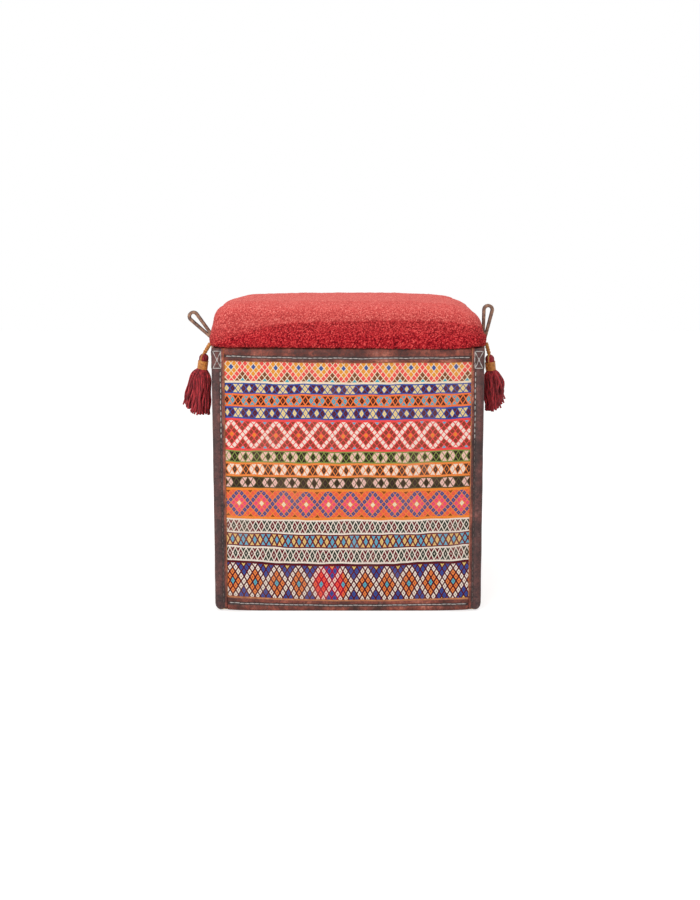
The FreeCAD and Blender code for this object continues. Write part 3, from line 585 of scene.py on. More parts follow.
for side, turn in sideTurn.items():
    bm = bmesh.new()
    high, inner = hemStrip["height"], -outer + hemStrip["under"]
    seam, share = hemStrip["seam"], hemStrip["seamShare"]
    outline = [(-outer + 1.2 * mm, high + 0.7 * mm), (-outer, high - 1.3 * mm),
               (-outer, seam + groove["half"]), (-outer + groove["depth"], seam),
               (-outer, seam - groove["half"]), (-outer, 0), (inner, 0)]
    drawAlong(bm, [(-strip["end"], *point) for point in outline], (2 * strip["end"], 0, 0), strip["steps"])
    paintFaces(bm, layers["cut"], lambda co: co.z > high - 0.6 * mm)
    # painted shade in the stitch groove
    paintFaces(bm, layers["seam"], lambda co: abs(co.z - seam) < groove["half"] * groove["dark"])
    roundFold(bm, lambda co: co.z < tiny and abs(co.y + outer) < tiny, hemStrip["fold"], 3)
    faceOutward(bm, (0, -outer + 10 * mm, 10 * mm))
    for vert in bm.verts:
        x, up = vert.co.x, vert.co.z
        below, above = min(1, up / seam), max(0, up - seam) / (high - seam)
        rise = hemRise(x) + noise.noise((x * hemStrip["waves"], turn + 0.5, 0)) * hemStrip["stray"]
        lift = hemStrip["lift"] * abs(x / strip["end"]) ** 8 * (1 - below)
        vert.co.z += rise * (below * share + above * (1 - share)) + lift
        if up > hemStrip["dentFrom"]:
            wide, tall = hemStrip["dentWaves"]
            vert.co.y -= noise.noise((x * wide, up * tall, turn)) * hemStrip["dents"]
    thicken(bm, hide)
    sewStrip(bm, lambda x: seam + hemRise(x) * share, random.Random(turn + 2))
    finishPiece("leather_hem_" + side, bm, stripHides, "box", ["bottom_binding_" + side], turn)

# upright strip folded round a corner, closed over the rim and rounded off above the floor
upright = {"flange": 18.8 * mm, "round": 5.5 * mm, "low": 0.2 * mm, "toe": 11.5 * mm, "crown": 3.4 * mm,
           "steps": 66, "bends": (22, 45, 67, 90), "ripple": 0.4 * mm, "seamIn": 5.5 * mm,
           "seamFrom": 13 * mm, "soiledTo": 262 * mm, "seamGap": 4 * mm, "dash": 0.74,
           "boxNear": 2.5 * mm, "boxIn": 14.5 * mm, "boxTop": 4.5 * mm, "boxHeight": 25 * mm}
cornerHides = [leather, rawEdge, thread, darkLeatherAndGrooveShade, rubbedLeather, soiledThread]


def foldEnd(bm, edges, radius, level, sign, corner):
    core = -outer + upright["toe"] + 0.2 * mm
    starts = {v: v.co.copy() for e in edges for v in e.verts}
    for angle in upright["bends"]:
        made = bmesh.ops.extrude_edge_only(bm, edges=edges)["geom"]
        fresh = [v for v in made if isinstance(v, bmesh.types.BMVert)]
        edges = [e for e in made if isinstance(e, bmesh.types.BMEdge)]
        begins = {}
        for vert in fresh:
            begin = next(starts[e.other_vert(vert)] for e in vert.link_edges if e.other_vert(vert) in starts)
            inward = Vector((max(begin.x, core) - begin.x, max(begin.y, core) - begin.y, 0)).normalized()
            vert.co = begin + inward * radius * (1 - math.cos(math.radians(angle)))
            vert.co.z = level - sign * radius * (1 - math.sin(math.radians(angle)))
            begins[vert] = begin
        starts = begins
    made = bmesh.ops.extrude_edge_only(bm, edges=edges)["geom"]
    last = [v for v in made if isinstance(v, bmesh.types.BMVert)]
    bmesh.ops.pointmerge(bm, verts=last, merge_co=Vector((corner[0], corner[1], level)))


for corner, turn in cornerTurn.items():
    bm = bmesh.new()
    end, low, high = -outer + upright["flange"], upright["low"] + upright["toe"], rim - upright["crown"]
    seam = end - upright["seamIn"]
    inside = (-outer + 15 * mm, -outer + 15 * mm, 0.2)
    flank = [(end + 0.6 * mm, -outer + 1.2 * mm), (end - 0.7 * mm, -outer), (seam + groove["half"], -outer),
             (seam, -outer + groove["depth"]), (seam - groove["half"], -outer)]
    outline = flank + [(-outer, -outer)] + [(y, x) for x, y in reversed(flank)]
    drawAlong(bm, [(*point, low) for point in outline], (0, 0, high - low), upright["steps"])
    dark = groove["half"] * groove["dark"]
    cutLow, cutHigh = 24 * mm, rim - 4 * mm
    paintFaces(bm, layers["flank"], lambda co: max(co.x, co.y) > seam + groove["half"])
    # painted shade in the stitch groove
    paintFaces(bm, layers["seam"], lambda co: abs(max(co.x, co.y) - seam) < dark)
    paintFaces(bm, layers["cut"], lambda co: max(co.x, co.y) > end - 0.5 * mm and cutLow < co.z < cutHigh)
    roundFold(bm, lambda co: max(co.x, co.y) < -outer + tiny, upright["round"], 5)
    faceOutward(bm, inside)
    ripple(bm, upright["ripple"], turn + 7)
    for vert in bm.verts:
        vert.co.z = min(max(vert.co.z, low), high)
    bm.normal_update()
    folds = ((rim, high, upright["crown"], 1), (upright["low"], low, upright["toe"], -1))
    for level, at, radius, sign in folds:
        openEdges = [e for e in bm.edges
                     if e.is_boundary and all(abs(v.co.z - at) < 0.2 * mm for v in e.verts)]
        foldEnd(bm, openEdges, radius, level, sign, (end, end))
    faceOutward(bm, inside)
    thicken(bm, hide)
    jitter = random.Random(turn + 3)
    top = rim - upright["boxTop"]
    bottom = top - upright["boxHeight"]
    near, box, over = -outer + upright["boxNear"], -outer + upright["boxIn"], -outer - groove["thread"]
    # each flank has a seam, and a crossed box of stitches at its top
    for flat, out in ((lambda s, z: (s, over, z), (0, -1, 0)), (lambda s, z: (over, s, z), (-1, 0, 0))):
        soiled = flat(seam, upright["soiledTo"])
        sewLine(bm, flat(seam, upright["seamFrom"]), soiled, out, jitter, upright["dash"], layers["soiled"])
        sewLine(bm, soiled, flat(seam, bottom - upright["seamGap"]), out, jitter, upright["dash"])
        for ends in (((near, top), (box, top)), ((box, top), (box, bottom)), ((box, bottom), (near, bottom)),
                     ((near, top), (box, bottom)), ((box, top), (near, bottom))):
            sewLine(bm, flat(*ends[0]), flat(*ends[1]), out, jitter)
    finishPiece("leather_corner_" + corner, bm, cornerHides, "box",
                ["corner_binding_" + corner], turn)
print("leather bindings sewn")

# woven face pulled over a thin pad
cover = {"width": 388 * mm, "height": 392 * mm, "low": 2 * mm, "plane": outer - 2 * mm, "thick": 1.5 * mm,
         "cells": 97, "swell": 5.0 * mm, "crease": 0.5 * mm, "creaseWaves": (16, 22),
         "half": 181 * mm, "middle": 197 * mm, "tall": 182 * mm,        # the part that is free of the leather
         "cutFrom": 180 * mm, "cutTo": 12 * mm, "shift": {"front": 0, "right": 9, "back": -14, "left": 5}}
# where red dye has run into the lowest band
stain = {"across": -28 * mm, "half": 22 * mm, "up": 42 * mm, "tall": 29 * mm, "deep": 3.4, "edge": 3.0,
         "mottle": 0.9, "waves": 90}
for side, turn in sideTurn.items():
    bm = bmesh.new()
    bmesh.ops.create_grid(bm, x_segments=cover["cells"], y_segments=cover["cells"], size=0.5)
    uvLayer = bm.loops.layers.uv.new("face")
    for vert in bm.verts:
        x, z = vert.co.x * cover["width"], cover["low"] + (vert.co.y + 0.5) * cover["height"]
        u = min(1, abs(x) / cover["half"])
        v = min(1, abs(z - cover["middle"]) / cover["tall"])
        wide, tall = cover["creaseWaves"]
        crease = noise.noise((x * wide, z * tall, turn)) * cover["crease"]
        swell = (cover["swell"] + crease) * (1 - u ** 4) * (1 - v ** 4)
        # cut short behind the rounded foot of the corner strip
        if abs(x) > cover["cutFrom"]:
            z = max(z, cover["cutTo"])
        vert.co = (x, -cover["plane"] - swell, z)
    for face in bm.faces:
        for loop in face.loops:
            loop[uvLayer].uv = (loop.vert.co.x, loop.vert.co.z)
    faceOutward(bm, (0, 0, 0.2))
    hidden = ["kilim_" + side, "wadding_" + side]
    piece = finishPiece("woven_face_" + side, bm, [kilim], "box", hidden, turn)
    shifted = piece.data.attributes.new("shift", "FLOAT", "POINT")
    for value in shifted.data:
        value.value = cover["shift"][side]
    if side == "front":
        bled = piece.data.attributes.new("bled", "FLOAT", "POINT")
        for value, vert in zip(bled.data, piece.data.vertices):
            aside = (vert.co.x - stain["across"]) / stain["half"]
            above = (vert.co.z - stain["up"]) / stain["tall"]
            mottle = stain["mottle"] * noise.noise(vert.co * stain["waves"])
            value.value = clamp(stain["deep"] - stain["edge"] * (aside ** 2 + above ** 4) + mottle)
    giveBody(piece, cover["thick"])
print("woven faces stretched")

# dust cloth tacked under the base
dustCloth = {"cells": 40, "gap": 0.2 * mm, "hang": 0.35 * mm, "slack": 0.3 * mm, "waves": 14,
             "thick": 0.4 * mm}
low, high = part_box("base_cloth")
bm = bmesh.new()
bmesh.ops.create_grid(bm, x_segments=dustCloth["cells"], y_segments=dustCloth["cells"], size=0.5)
for vert in bm.verts:
    x, y = vert.co.x * (high[0] - low[0]), vert.co.y * (high[1] - low[1])
    free = max(0, 1 - (2 * vert.co.x) ** 4) * max(0, 1 - (2 * vert.co.y) ** 4)
    slack = dustCloth["slack"] * noise.noise((x * dustCloth["waves"], y * dustCloth["waves"], 3))
    vert.co = (x, y, high[2] - dustCloth["gap"] - free * (dustCloth["hang"] + slack))
bmesh.ops.reverse_faces(bm, faces=bm.faces)
piece = finishPiece("dust_cloth", bm, [cotton], "box", ["base_cloth"])
giveBody(piece, dustCloth["thick"])

# rug-covered cushion, swollen by its filling, open underneath for the seat board and battens
pad = {
    "half": 206 * mm, "corner": 26 * mm, "soften": 0.7, "roundest": 0.72, "recess": 184 * mm,
    "recessCorner": 12 * mm, "voxel": 5 * mm, "pressure": 4.0, "frames": 20, "cap": 4 * mm,
    # mm over the underside, mm in from the widest
    "levels": [(0, 4), (4.7, 2.8), (11, 1.8), (20, 1.6), (28, 2.0), (36, 3.4), (46, 5.4), (54, 8.6),
               (59, 12.8), (61.9, 20), (62.8, 36), (62.6, 75), (62.5, 110)],
    "nap": {"deep": 1.9 * mm, "tuft": 2.0 * mm, "top": 0.95, "fuzz": 0.35, "fuzzWaves": 900, "base": 0.45,
            "clump": 0.7 * mm, "clumpWaves": (75, 160), "pressed": 0.5, "from": 18, "edge": 4 * mm},
    # paler from this many mm up, from lower down and more gradually at the left end: partly pile rubbed by
    # wear, partly painted light on the top
    "wornAndLit": {"from": 36, "tilt": 4, "blend": 4, "mottle": 2.5, "waves": 60, "leftFrom": 0.09, "leftRun": 0.11,
             "leftLower": 29, "leftBlend": 22, "leftMottle": 5, "side": 0.82, "faint": 0.2},
    # how the lower edge hangs along the front, m across and mm down; other sides hang as it does at evenAt
    "droops": [(-0.19, 0.8), (-0.11, 3.0), (0.0, 5.0), (0.11, 7.0), (0.16, 6.0), (0.19, 3.5)],
    "droopTo": 12, "evenAt": -0.11, "cornerDroop": 1.0,
    # how it has lost its shape: "low" and the "run" after it are mm up, the other places are in m
    "slump": {"deep": 14 * mm, "from": 0.1, "low": 14, "run": 22, "frontAt": 0.06, "frontRun": 0.2,
              "back": 0.3},
    "belly": {"out": 9 * mm, "from": -0.1, "middle": 0.06, "half": 0.16, "low": 40, "run": 16},
    "fall": {"deep": 4 * mm, "low": 40, "run": 18, "backAt": 0.03, "backRun": 0.15, "sideAt": 0.08,
             "sideRun": 0.1},
    "press": {"at": -144 * mm, "tab": 12 * mm, "tabTop": 11, "loop": 6 * mm, "blend": 6 * mm, "face": 198.6,
              "lean": 0.05, "leanFrom": 25, "give": 9 * mm},
}
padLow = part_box("seat_cover")[0][2]
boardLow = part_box("seat_board")[0][2]


def roundedRing(bm, halfWidth, radius, height):
    made = bmesh.ops.create_grid(bm, x_segments=1, y_segments=1, size=halfWidth)["verts"]
    bmesh.ops.translate(bm, verts=made, vec=(0, 0, height))
    ring = roundOff(bm, made, radius, 7, "VERTICES")
    face = next(f for f in bm.faces if f.is_valid and f.verts[0] in set(ring["verts"]) and len(f.verts) > 8)
    edges = list(face.edges)
    bmesh.ops.delete(bm, geom=[face], context="FACES_ONLY")
    return edges


bm = bmesh.new()
rings = [roundedRing(bm, pad["recess"], pad["recessCorner"], height)
         for height in (boardLow + 2 * mm, padLow)]
for rise, inset in pad["levels"]:
    half = pad["half"] - inset * mm
    bend = min(pad["corner"] + pad["soften"] * inset * mm, pad["roundest"] * half)
    rings.append(roundedRing(bm, half, bend, padLow + rise * mm))
for near, far in zip(rings, rings[1:]):
    bmesh.ops.bridge_loops(bm, edges=near + far)
bmesh.ops.contextual_create(bm, geom=rings[0])
bmesh.ops.contextual_create(bm, geom=rings[-1])
bmesh.ops.recalc_face_normals(bm, faces=bm.faces)
worker = addObject("cushion_start", meshOf("cushion_start", bm))
remesh = worker.modifiers.new("even", "REMESH")
remesh.mode = "VOXEL"
remesh.voxel_size = pad["voxel"]
even = evaluated(worker)
worker.modifiers.clear()
worker.data = even
starts = [v.co.copy() for v in even.vertices]
held = worker.vertex_groups.new(name="held")
under = [v for v in even.vertices if v.co.z < padLow + 12 * mm]
still = [v.index for v in under if v.co.z < padLow + 5 * mm
         or max(abs(v.co.x), abs(v.co.y)) < pad["recess"] + 4 * mm]
held.add(still, 1.0, "REPLACE")
swelling = worker.modifiers.new("swelling", "CLOTH")
swelling.settings.vertex_group_mass = "held"
swelling.settings.use_pressure = True
swelling.settings.uniform_pressure_force = pad["pressure"]
swelling.settings.effector_weights.gravity = 0.0
swelling.settings.quality = 6
swelling.point_cache.frame_end = pad["frames"]
for step in range(1, pad["frames"] + 1):
    bpy.context.scene.frame_set(step)
swollen = evaluated(worker)
worker.modifiers.clear()
worker.data = swollen
bpy.context.scene.frame_set(1)
moves = []
for vert, start in zip(swollen.vertices, starts):
    move = vert.co - start
    moves.append(move.length)
    if move.length > pad["cap"]:
        vert.co = start + move * (pad["cap"] / move.length)
most, mean = max(moves) / mm, sum(moves) / len(moves) / mm
print("cushion swollen, moves up to", round(most, 1), "mm, mean", round(mean, 1))
smooth = worker.modifiers.new("smooth", "SUBSURF")
smooth.levels = smooth.render_levels = 1
rounded = evaluated(worker)
bpy.data.objects.remove(worker)
bm = bmesh.new()
bm.from_mesh(rounded)
for _ in range(2):
    upper = [v for v in bm.verts if v.co.z > padLow + 12 * mm]
    bmesh.ops.smooth_vert(bm, verts=upper, factor=0.5, use_axis_x=True, use_axis_y=True, use_axis_z=True)
middles = [(f, f.calc_center_median()) for f in bm.faces]
shown = [f for f, co in middles
         if co.z > padLow + 20 * mm or max(abs(co.x), abs(co.y)) > pad["recess"] + 8 * mm]
fine = list({e for f in shown for e in f.edges})
bmesh.ops.subdivide_edges(bm, edges=fine, cuts=1, use_grid_fill=True, smooth=0.0)
bm.normal_update()


# share of the pile painted paler, most of it on top and at the left end: partly rubbed flat and bleached by
# wear, partly painted light and sheen on the faces turned up to the lamps
def wornAndLitShare(co, normal, rise):
    wornAndLit = pad["wornAndLit"]
    leftEnd = clamp((-co.x - wornAndLit["leftFrom"]) / wornAndLit["leftRun"])
    level = wornAndLit["from"] + wornAndLit["tilt"] * co.x / pad["half"] - wornAndLit["leftLower"] * leftEnd
    mottle = (wornAndLit["mottle"] + wornAndLit["leftMottle"] * leftEnd) * noise.noise(co * wornAndLit["waves"])
    shoulder = clamp((rise + mottle - level) / (wornAndLit["blend"] + wornAndLit["leftBlend"] * leftEnd))
    # faces turned up get more of the painted top light
    facingUp = clamp((normal.z - 0.35) / 0.55)
    rubbedAndLit = shoulder * (wornAndLit["side"] + (1 - wornAndLit["side"]) * facingUp)
    # and a faint painted lightening of the front from 14 mm up
    return max(rubbedAndLit, wornAndLit["faint"] * clamp((rise - 14) / 20))


# mm that the lower edge hangs, uneven along the front
def edgeDroop(co):
    onFront = abs(co.y) > abs(co.x) and co.y < 0
    x = co.x if onFront else pad["evenAt"]
    for (start, drop), (end, nextDrop) in zip(pad["droops"], pad["droops"][1:]):
        if start <= x <= end:
            return drop + (nextDrop - drop) * (x - start) / (end - start)
    return pad["cornerDroop"]


tufts = bm.verts.layers.float.new("pile")
tops = bm.verts.layers.float.new("wear_and_top_light")
nap, slump, belly, fall, press = [pad[part] for part in ("nap", "slump", "belly", "fall", "press")]
for vert in bm.verts:
    co, normal = vert.co.copy(), vert.normal.copy()
    rise = (co.z - padLow) / mm
    beyond = max(abs(co.x), abs(co.y))
    outside = 1.0 if rise > nap["from"] else clamp((beyond - pad["recess"] - nap["edge"]) / nap["edge"])
    flat = wornAndLitShare(co, normal, rise)
    near = noise.voronoi(co / nap["tuft"])[0][0]
    fuzz = nap["fuzz"] * noise.noise(co * nap["fuzzWaves"])
    large, small = [noise.noise(co * count) for count in nap["clumpWaves"]]
    tip = clamp(nap["top"] - near + fuzz)
    # tip height: low values are painted as shade in the gaps between tufts
    vert[tufts] = tip
    # paler share on top: partly wear, partly painted top light
    vert[tops] = flat
    stands = (1 - nap["pressed"] * flat) * nap["deep"] * (tip - nap["base"])
    co += normal * outside * (stands + nap["clump"] * (large + small / 2))
    over = beyond - outer - 0.5 * mm
    if rise < pad["droopTo"] and over > 0:
        co.z -= edgeDroop(co) * mm * (1 - rise / pad["droopTo"]) * min(1.0, over / (1.5 * mm))
    # the right front corner has been sat lower
    if co.x > slump["from"]:
        sunk = clamp((rise - slump["low"]) / slump["run"])
        front = clamp((slump["frontAt"] - co.y) / slump["frontRun"])
        share = (co.x / pad["half"]) ** 4 * (slump["back"] + (1 - slump["back"]) * front)
        co.z -= slump["deep"] * share * sunk * sunk * (3 - 2 * sunk)
    # the left side bellies out along its upper edge
    if co.x < belly["from"]:
        along = max(0.0, 1 - ((co.y - belly["middle"]) / belly["half"]) ** 2)
        share = along * clamp((rise - belly["low"]) / belly["run"])
        co.x += belly["out"] * share * (co.x / pad["half"]) ** 3
    # the back corners of the top fall away
    if rise > fall["low"] and co.y > fall["backAt"]:
        back = min(1.0, (co.y - fall["backAt"]) / fall["backRun"])
        corner = clamp((abs(co.x) - fall["sideAt"]) / fall["sideRun"]) * back
        co.z -= fall["deep"] * corner * min(1.0, (rise - fall["low"]) / fall["run"])
    # the tabs and loops press into the sides
    wide = press["tab"] if rise < press["tabTop"] else press["loop"]
    aside = max(0.0, abs(co.y - press["at"]) - wide) / press["blend"]
    limit = (press["face"] - press["lean"] * max(0.0, rise - press["leanFrom"])) * mm
    limit += press["give"] * min(1.0, aside * aside)
    if abs(co.x) > limit:
        co.x = math.copysign(limit, co.x)
    vert.co = co
cushion = finishPiece("rug_cushion", bm, [pile], "seat", ["seat_cover", "seat_foam"])
print("cushion ready,", len(cushion.data.polygons), "faces")

# strap doubled into a loop, its ends closed round a foot that stands on the tab
strap = {"thick": 4.8 * mm, "width": 9 * mm, "length": 49 * mm, "ring": 8.6 * mm, "foot": 3.7 * mm,
         "meet": 7 * mm, "slit": 0.25 * mm, "edge": 1.0 * mm, "ripple": 0.25 * mm,
         "sharp": 50, "lean": {"left": -42, "right": 7.5}}
tab = {"corner": 5 * mm, "edge": 0.72 * mm, "margin": 4 * mm, "sewnTo": rim - 3 * mm, "proud": 0.2 * mm}
joints = {joint["name"]: joint for joint in frame["joints"]}


def teardrop(bm, radius, foot, footUp):
    rise = strap["length"] - strap["ring"] - footUp
    slant = math.asin((radius - foot) / rise)
    edges = []
    for middle, reach, start, turn in ((footUp + rise, radius, -slant, math.pi + 2 * slant),
                                       (footUp, foot, math.pi + slant, math.pi - 2 * slant)):
        first = bm.verts.new((reach * math.cos(start), 0, middle + reach * math.sin(start)))
        arc = bmesh.ops.spin(bm, geom=[first], cent=(0, 0, middle), axis=(0, -1, 0), angle=turn, steps=16,
                             use_duplicate=False)
        last = next(v for v in arc["geom_last"] if isinstance(v, bmesh.types.BMVert))
        edges.append((first, last))
    bm.edges.new((edges[0][1], edges[1][0]))
    bm.edges.new((edges[1][1], edges[0][0]))


for side, sign in (("left", -1), ("right", 1)):
    root = Vector(joints["loop_" + side + "_flop"]["pos_m"])
    bm = bmesh.new()
    teardrop(bm, strap["ring"], strap["foot"], 0)
    teardrop(bm, strap["ring"] - strap["thick"], strap["slit"], strap["meet"])
    bmesh.ops.bridge_loops(bm, edges=list(bm.edges))
    made = bmesh.ops.extrude_face_region(bm, geom=list(bm.faces))["geom"]
    far = [v for v in made if isinstance(v, bmesh.types.BMVert)]
    bmesh.ops.translate(bm, verts=far, vec=(0, strap["width"], 0))
    bmesh.ops.translate(bm, verts=bm.verts, vec=(0, -strap["width"] / 2, 0))
    bmesh.ops.recalc_face_normals(bm, faces=bm.faces)
    bm.normal_update()
    limit = math.radians(strap["sharp"])
    sharp = [e for e in bm.edges if len(e.link_faces) == 2 and e.calc_face_angle() > limit]
    roundOff(bm, sharp, strap["edge"], 3)
    bm.normal_update()
    for face in bm.faces:
        face.material_index = layers["cut"] if abs(face.normal.y) > 0.5 else 0
    ripple(bm, strap["ripple"], sign * 3)
    lean = Matrix.Rotation(math.radians(strap["lean"][side]), 4, "Y")
    bmesh.ops.transform(bm, verts=bm.verts, matrix=Matrix.Translation(root) @ lean)
    finishPiece("strap_loop_" + side, bm, [darkLeatherAndGrooveShade, handledEdge], "loop_" + side,
                ["loop_" + side])

    low, high = [Vector(corner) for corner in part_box("loop_tab_" + side)]
    bm = bmesh.new()
    bmesh.ops.create_cube(bm, size=1)
    size = Matrix.Diagonal((*(high - low), 1))
    bmesh.ops.transform(bm, verts=bm.verts, matrix=Matrix.Translation((low + high) / 2) @ size)
    ends = [e for e in bm.edges if abs(e.verts[0].co.x - e.verts[1].co.x) > 0.1 * mm]
    roundOff(bm, ends, tab["corner"], 4)
    rims = [e for e in bm.edges if abs(e.verts[0].co.x - e.verts[1].co.x) < 0.001 * mm]
    roundOff(bm, rims, tab["edge"], 2)
    bm.normal_update()
    for face in bm.faces:
        face.material_index = layers["cut"] if abs(face.normal.x) < 0.3 else 0
    jitter = random.Random(20 + sign)
    sewnOn = (high.x if sign > 0 else low.x) + sign * tab["proud"]
    y0, y1 = low.y + tab["margin"], high.y - tab["margin"]
    z0, z1 = low.z + tab["margin"], tab["sewnTo"]
    for a, b in (((y0, z0), (y1, z0)), ((y1, z0), (y1, z1)), ((y1, z1), (y0, z1)), ((y0, z1), (y0, z0)),
                 ((y0, z0), (y1, z1)), ((y0, z1), (y1, z0))):
        sewLine(bm, (sewnOn, *a), (sewnOn, *b), (sign, 0, 0), jitter)
    finishPiece("strap_tab_" + side, bm, [leather, handledEdge, thread], "box",
                ["loop_tab_" + side])
print("loops sewn on")


# round strands along smooth paths, as one mesh
def strands(name, paths, radius, sides):
    curve = bpy.data.curves.new(name, "CURVE")
    curve.dimensions = "3D"
    curve.bevel_depth = radius
    curve.bevel_resolution = sides
    curve.resolution_u = 2
    curve.use_fill_caps = True
    for path in paths:
        spline = curve.splines.new("NURBS")
        spline.points.add(len(path) - 1)
        for point, co in zip(spline.points, path):
            point.co = (*co, 1)
        spline.order_u = 3
        spline.use_endpoint_u = True
    holder = bpy.data.objects.new(name, curve)
    mesh = bpy.data.meshes.new_from_object(holder)
    bpy.data.objects.remove(holder)
    return mesh


# tassel: yarn bent over the cord's end, bound at the neck, hanging in a full ragged skirt that is
# shorter on the side away from the stool; sizes without mm are in mm
tassel = {
    "strand": 1.35 * mm, "outer": 38, "inner": 96, "lean": {"left": 8.0, "right": -6.8},
    "full": {"left": 20.6, "right": 16.6}, "length": {"left": 70, "right": 62},
    "trim": {"left": 0.17, "right": 0.25}, "mess": {"left": 1.9, "right": 3.4},
    "stray": {"left": 0.2, "right": 0.5}, "messWaves": 11, "curl": 0.10, "curlWaves": 9, "phase": 6.28,
    "spacing": 0.05, "ringReach": (0.86, 1.04), "coreReach": 0.93, "coreArea": (0.05, 0.95),
    "cut": (0.9, 1.0), "pressed": 0.14,
    # down and radius of the head, then share of the length and of the fullness down the skirt
    "head": [(1.0, 1.2), (3.2, 5.0), (7.0, 6.0), (11.0, 4.9), (16, 4.6), (23, 5.0)], "neckEnd": 23,
    "skirt": {"left": [(0.06, 0.50), (0.14, 0.68), (0.26, 0.80), (0.42, 0.88), (0.6, 0.95), (0.8, 1.0),
                       (1.0, 1.03)],
              "right": [(0.06, 0.50), (0.14, 0.72), (0.26, 0.90), (0.42, 1.0), (0.6, 1.0), (0.8, 0.93),
                        (1.0, 0.82)]},
    "wrapFrom": 11.0, "wrapTo": 23.4, "wrapTurns": 7, "wrapSteps": 14, "wrapRadius": 7.0,
    "wrapThread": 1.15 * mm, "crossAt": (0.6, 2.4, 4.3),
    "crossing": [(0.4, 0.8), (2.4, 6.2), (7.0, 7.6), (12.0, 6.8)],
    "ply": 1.8 * mm, "twist": 1.5, "twistStep": 0.75, "twistSteps": 16, "clear": 0.6 * mm,
    "ball": 1.3, "ballStep": 0.8, "ballSteps": 24, "ballLength": 3.0,
}


def around(hang, angle, radius, down):
    return hang @ (Vector((math.cos(angle) * radius, math.sin(angle) * radius, -down)) * mm)


for side, sign in (("left", -1), ("right", 1)):
    rng = random.Random(40 + sign)
    knot = Vector(joints["tassel_" + side + "_lift"]["pos_m"]) + Vector((sign * tassel["clear"], 0, 0))
    end = Vector(joints["tassel_" + side + "_swing"]["pos_m"])
    hang = Matrix.Translation(end) @ Matrix.Rotation(math.radians(tassel["lean"][side]), 4, "Y")
    full, length, mess = tassel["full"][side], tassel["length"][side], tassel["mess"][side]
    paths = []
    for k in range(tassel["outer"] + tassel["inner"]):
        outerRing = k < tassel["outer"]
        angle = 2 * math.pi * (k / tassel["outer"] if outerRing else rng.random())
        angle += rng.uniform(-tassel["spacing"], tassel["spacing"])
        if outerRing:
            reach = rng.uniform(*tassel["ringReach"])
        else:
            reach = tassel["coreReach"] * math.sqrt(rng.uniform(*tassel["coreArea"]))
        away = sign * math.cos(angle) * reach
        drop = length * rng.uniform(*tassel["cut"]) * (1 - tassel["trim"][side] * max(0.0, away))
        bend, wave = tassel["stray"][side] * rng.uniform(-1, 1), rng.uniform(0, tassel["phase"])
        head = tassel["head"] if outerRing else tassel["head"][4:]
        path = [around(hang, angle, radius * reach, down) for down, radius in head]
        for share, swell in tassel["skirt"][side]:
            turn = angle + bend * share + tassel["curl"] * math.sin(tassel["curlWaves"] * share + wave)
            radius = full * swell * reach * min(1.0, 1 + tassel["pressed"] * away)
            radius += mess * share * math.sin(tassel["messWaves"] * share + 2 * wave)
            path.append(around(hang, turn, radius, tassel["neckEnd"] + drop * share))
        paths.append(path)
    name = "tassel_strands_" + side
    placePiece(name, strands(name, paths, tassel["strand"], 1), [yarn], "tassel_" + side,
               ["tassel_yarn_" + side])

    steps = tassel["wrapTurns"] * tassel["wrapSteps"]
    pitch = (tassel["wrapTo"] - tassel["wrapFrom"]) / steps
    turns = [[around(hang, 2 * math.pi * k / tassel["wrapSteps"], tassel["wrapRadius"],
                     tassel["wrapFrom"] + pitch * k) for k in range(steps + 1)]]
    for angle in tassel["crossAt"]:
        turns.append([around(hang, angle, radius, down) for down, radius in tassel["crossing"]])
    name = "tassel_wrap_" + side
    placePiece(name, strands(name, turns, tassel["wrapThread"], 2), [goldCord], "tassel_" + side,
               ["tassel_winding_" + side])

    run = end - knot
    axis = run.normalized()
    across = axis.cross(Vector((0, 1, 0))).normalized()
    other = axis.cross(across)
    plies = []
    for start in (0, math.pi):
        path = []
        for k in range(tassel["twistSteps"] + 1):
            angle = start + k * tassel["twistStep"]
            aside = (across * math.cos(angle) + other * math.sin(angle)) * tassel["twist"] * mm
            path.append(knot + run * (k / tassel["twistSteps"]) + aside)
        plies.append(path)
    ball = []
    for k in range(tassel["ballSteps"] + 1):
        angle = k * tassel["ballStep"]
        aside = (across * math.cos(angle) + other * math.sin(angle)) * tassel["ball"] * mm
        ball.append(knot + aside + axis * (k / tassel["ballSteps"] - 0.5) * tassel["ballLength"] * mm)
    name = "tassel_twist_" + side
    placePiece(name, strands(name, plies + [ball], tassel["ply"], 2), [goldCord], "tassel_cord_" + side,
               ["tassel_cord_" + side])
print("tassels hung")

# carried-over wood and screws
finishes = {"wall": plywood, "base_board": plywood, "seat_board": plywood, "corner_post": pine,
            "seat_batten": pine, "wall_screws": zinc, "base_screws": zinc, "batten_screws": zinc}
for name, node in nodes.items():
    match = [key for key in finishes if name.startswith(key)]
    if match:
        node.material_slots[0].material = finishes[max(match, key=len)]

studio = {
    "floorHalf": 6, "floor": "#c8c6c4", "floorGlow": 0.64, "sky": 0.7, "backdrop": 1.0,
    # large soft boxes: one high in front on the left, one overhead
    "lamps": {"key": {"spot": (-1.2, -2.6, 1.35), "aim": (0, -0.1, 0.25), "size": 1.6, "power": 42},
              "top": {"spot": (0.2, 0.1, 2.3), "aim": (0, 0, 0.4), "size": 1.5, "power": 15}},
}
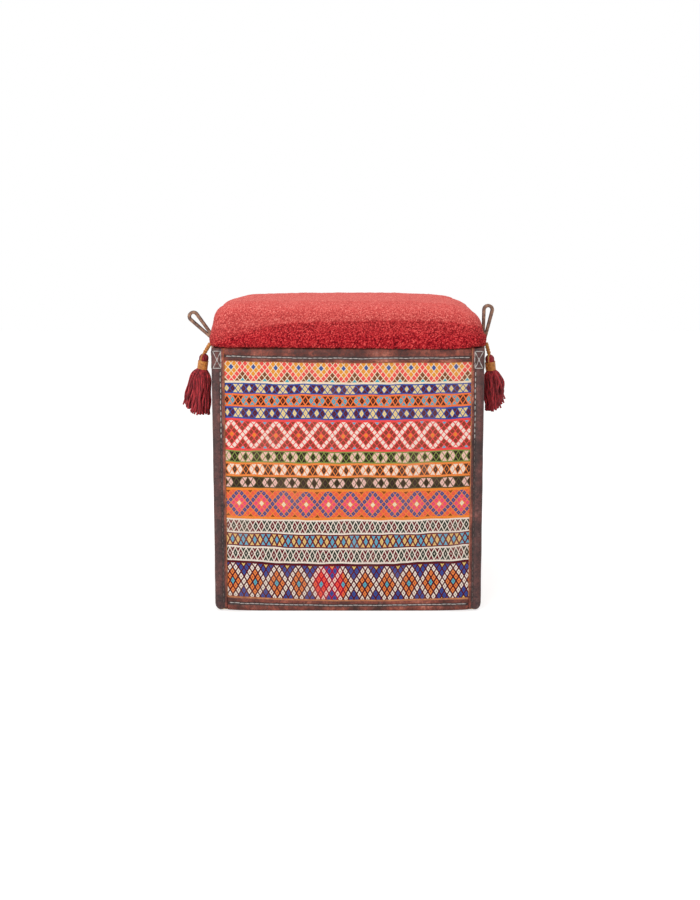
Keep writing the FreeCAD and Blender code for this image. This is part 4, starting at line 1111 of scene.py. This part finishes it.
# pale floor that stays white to the eye and keeps a soft shadow
bm = bmesh.new()
bmesh.ops.create_grid(bm, x_segments=1, y_segments=1, size=studio["floorHalf"])
floor = addObject("floor", meshOf("floor", bm))
floor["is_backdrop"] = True
material = bpy.data.materials.new("paper_white_matt")
material.use_nodes = True
tree = material.node_tree
tree.nodes.clear()
matt = addNode(tree, "BsdfDiffuse", {"Color": linear(studio["floor"])})
rays = addNode(tree, "LightPath").outputs
seen = addNode(tree, "Math", {0: rays["Is Camera Ray"], 1: rays["Is Glossy Ray"]}, operation="MAXIMUM")
faint = addNode(tree, "Math", {0: seen, 1: studio["floorGlow"]}, operation="MULTIPLY")
glow = addNode(tree, "Emission", {"Color": (1, 1, 1, 1), "Strength": faint})
lit = addNode(tree, "AddShader", {0: matt, 1: glow})
addNode(tree, "OutputMaterial", {"Surface": lit})
floor.data.materials.append(material)

world = bpy.data.worlds.new("studio")
bpy.context.scene.world = world
world.use_nodes = True
tree = world.node_tree
tree.nodes.clear()
rays = addNode(tree, "LightPath").outputs
seen = addNode(tree, "Math", {0: rays["Is Camera Ray"], 1: rays["Is Transmission Ray"]}, operation="MAXIMUM")
strength = addNode(tree, "MapRange", {"Value": seen, 3: studio["sky"], 4: studio["backdrop"]})
sky = addNode(tree, "Background", {"Color": (1, 1, 1, 1), "Strength": strength})
addNode(tree, "OutputWorld", {"Surface": sky})

for name, softBox in studio["lamps"].items():
    lamp = bpy.data.lights.new(name, "AREA")
    lamp.size = softBox["size"]
    lamp.energy = softBox["power"]
    holder = addObject(name, lamp)
    holder.location = softBox["spot"]
    aim = Vector(softBox["aim"]) - Vector(softBox["spot"])
    holder.rotation_euler = aim.to_track_quat("-Z", "Y").to_euler()

# fitted to the photograph's upright edges, rim and bottom edge; the focal length is in pixels of its height
view = {"spot": (0.003, -2.111, 0.549), "down": 9.02, "focal": 1311, "tall": 900, "sensor": 36}
camera = bpy.data.cameras.new("view")
camera.sensor_width = view["sensor"]
camera.lens = view["focal"] / view["tall"] * view["sensor"]
holder = addObject("view", camera)
holder.location = view["spot"]
holder.rotation_euler = (math.radians(90 - view["down"]), 0, 0)
bpy.context.scene.camera = holder
bpy.context.scene.view_settings.view_transform = "Standard"

low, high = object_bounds()
print("scene ready")
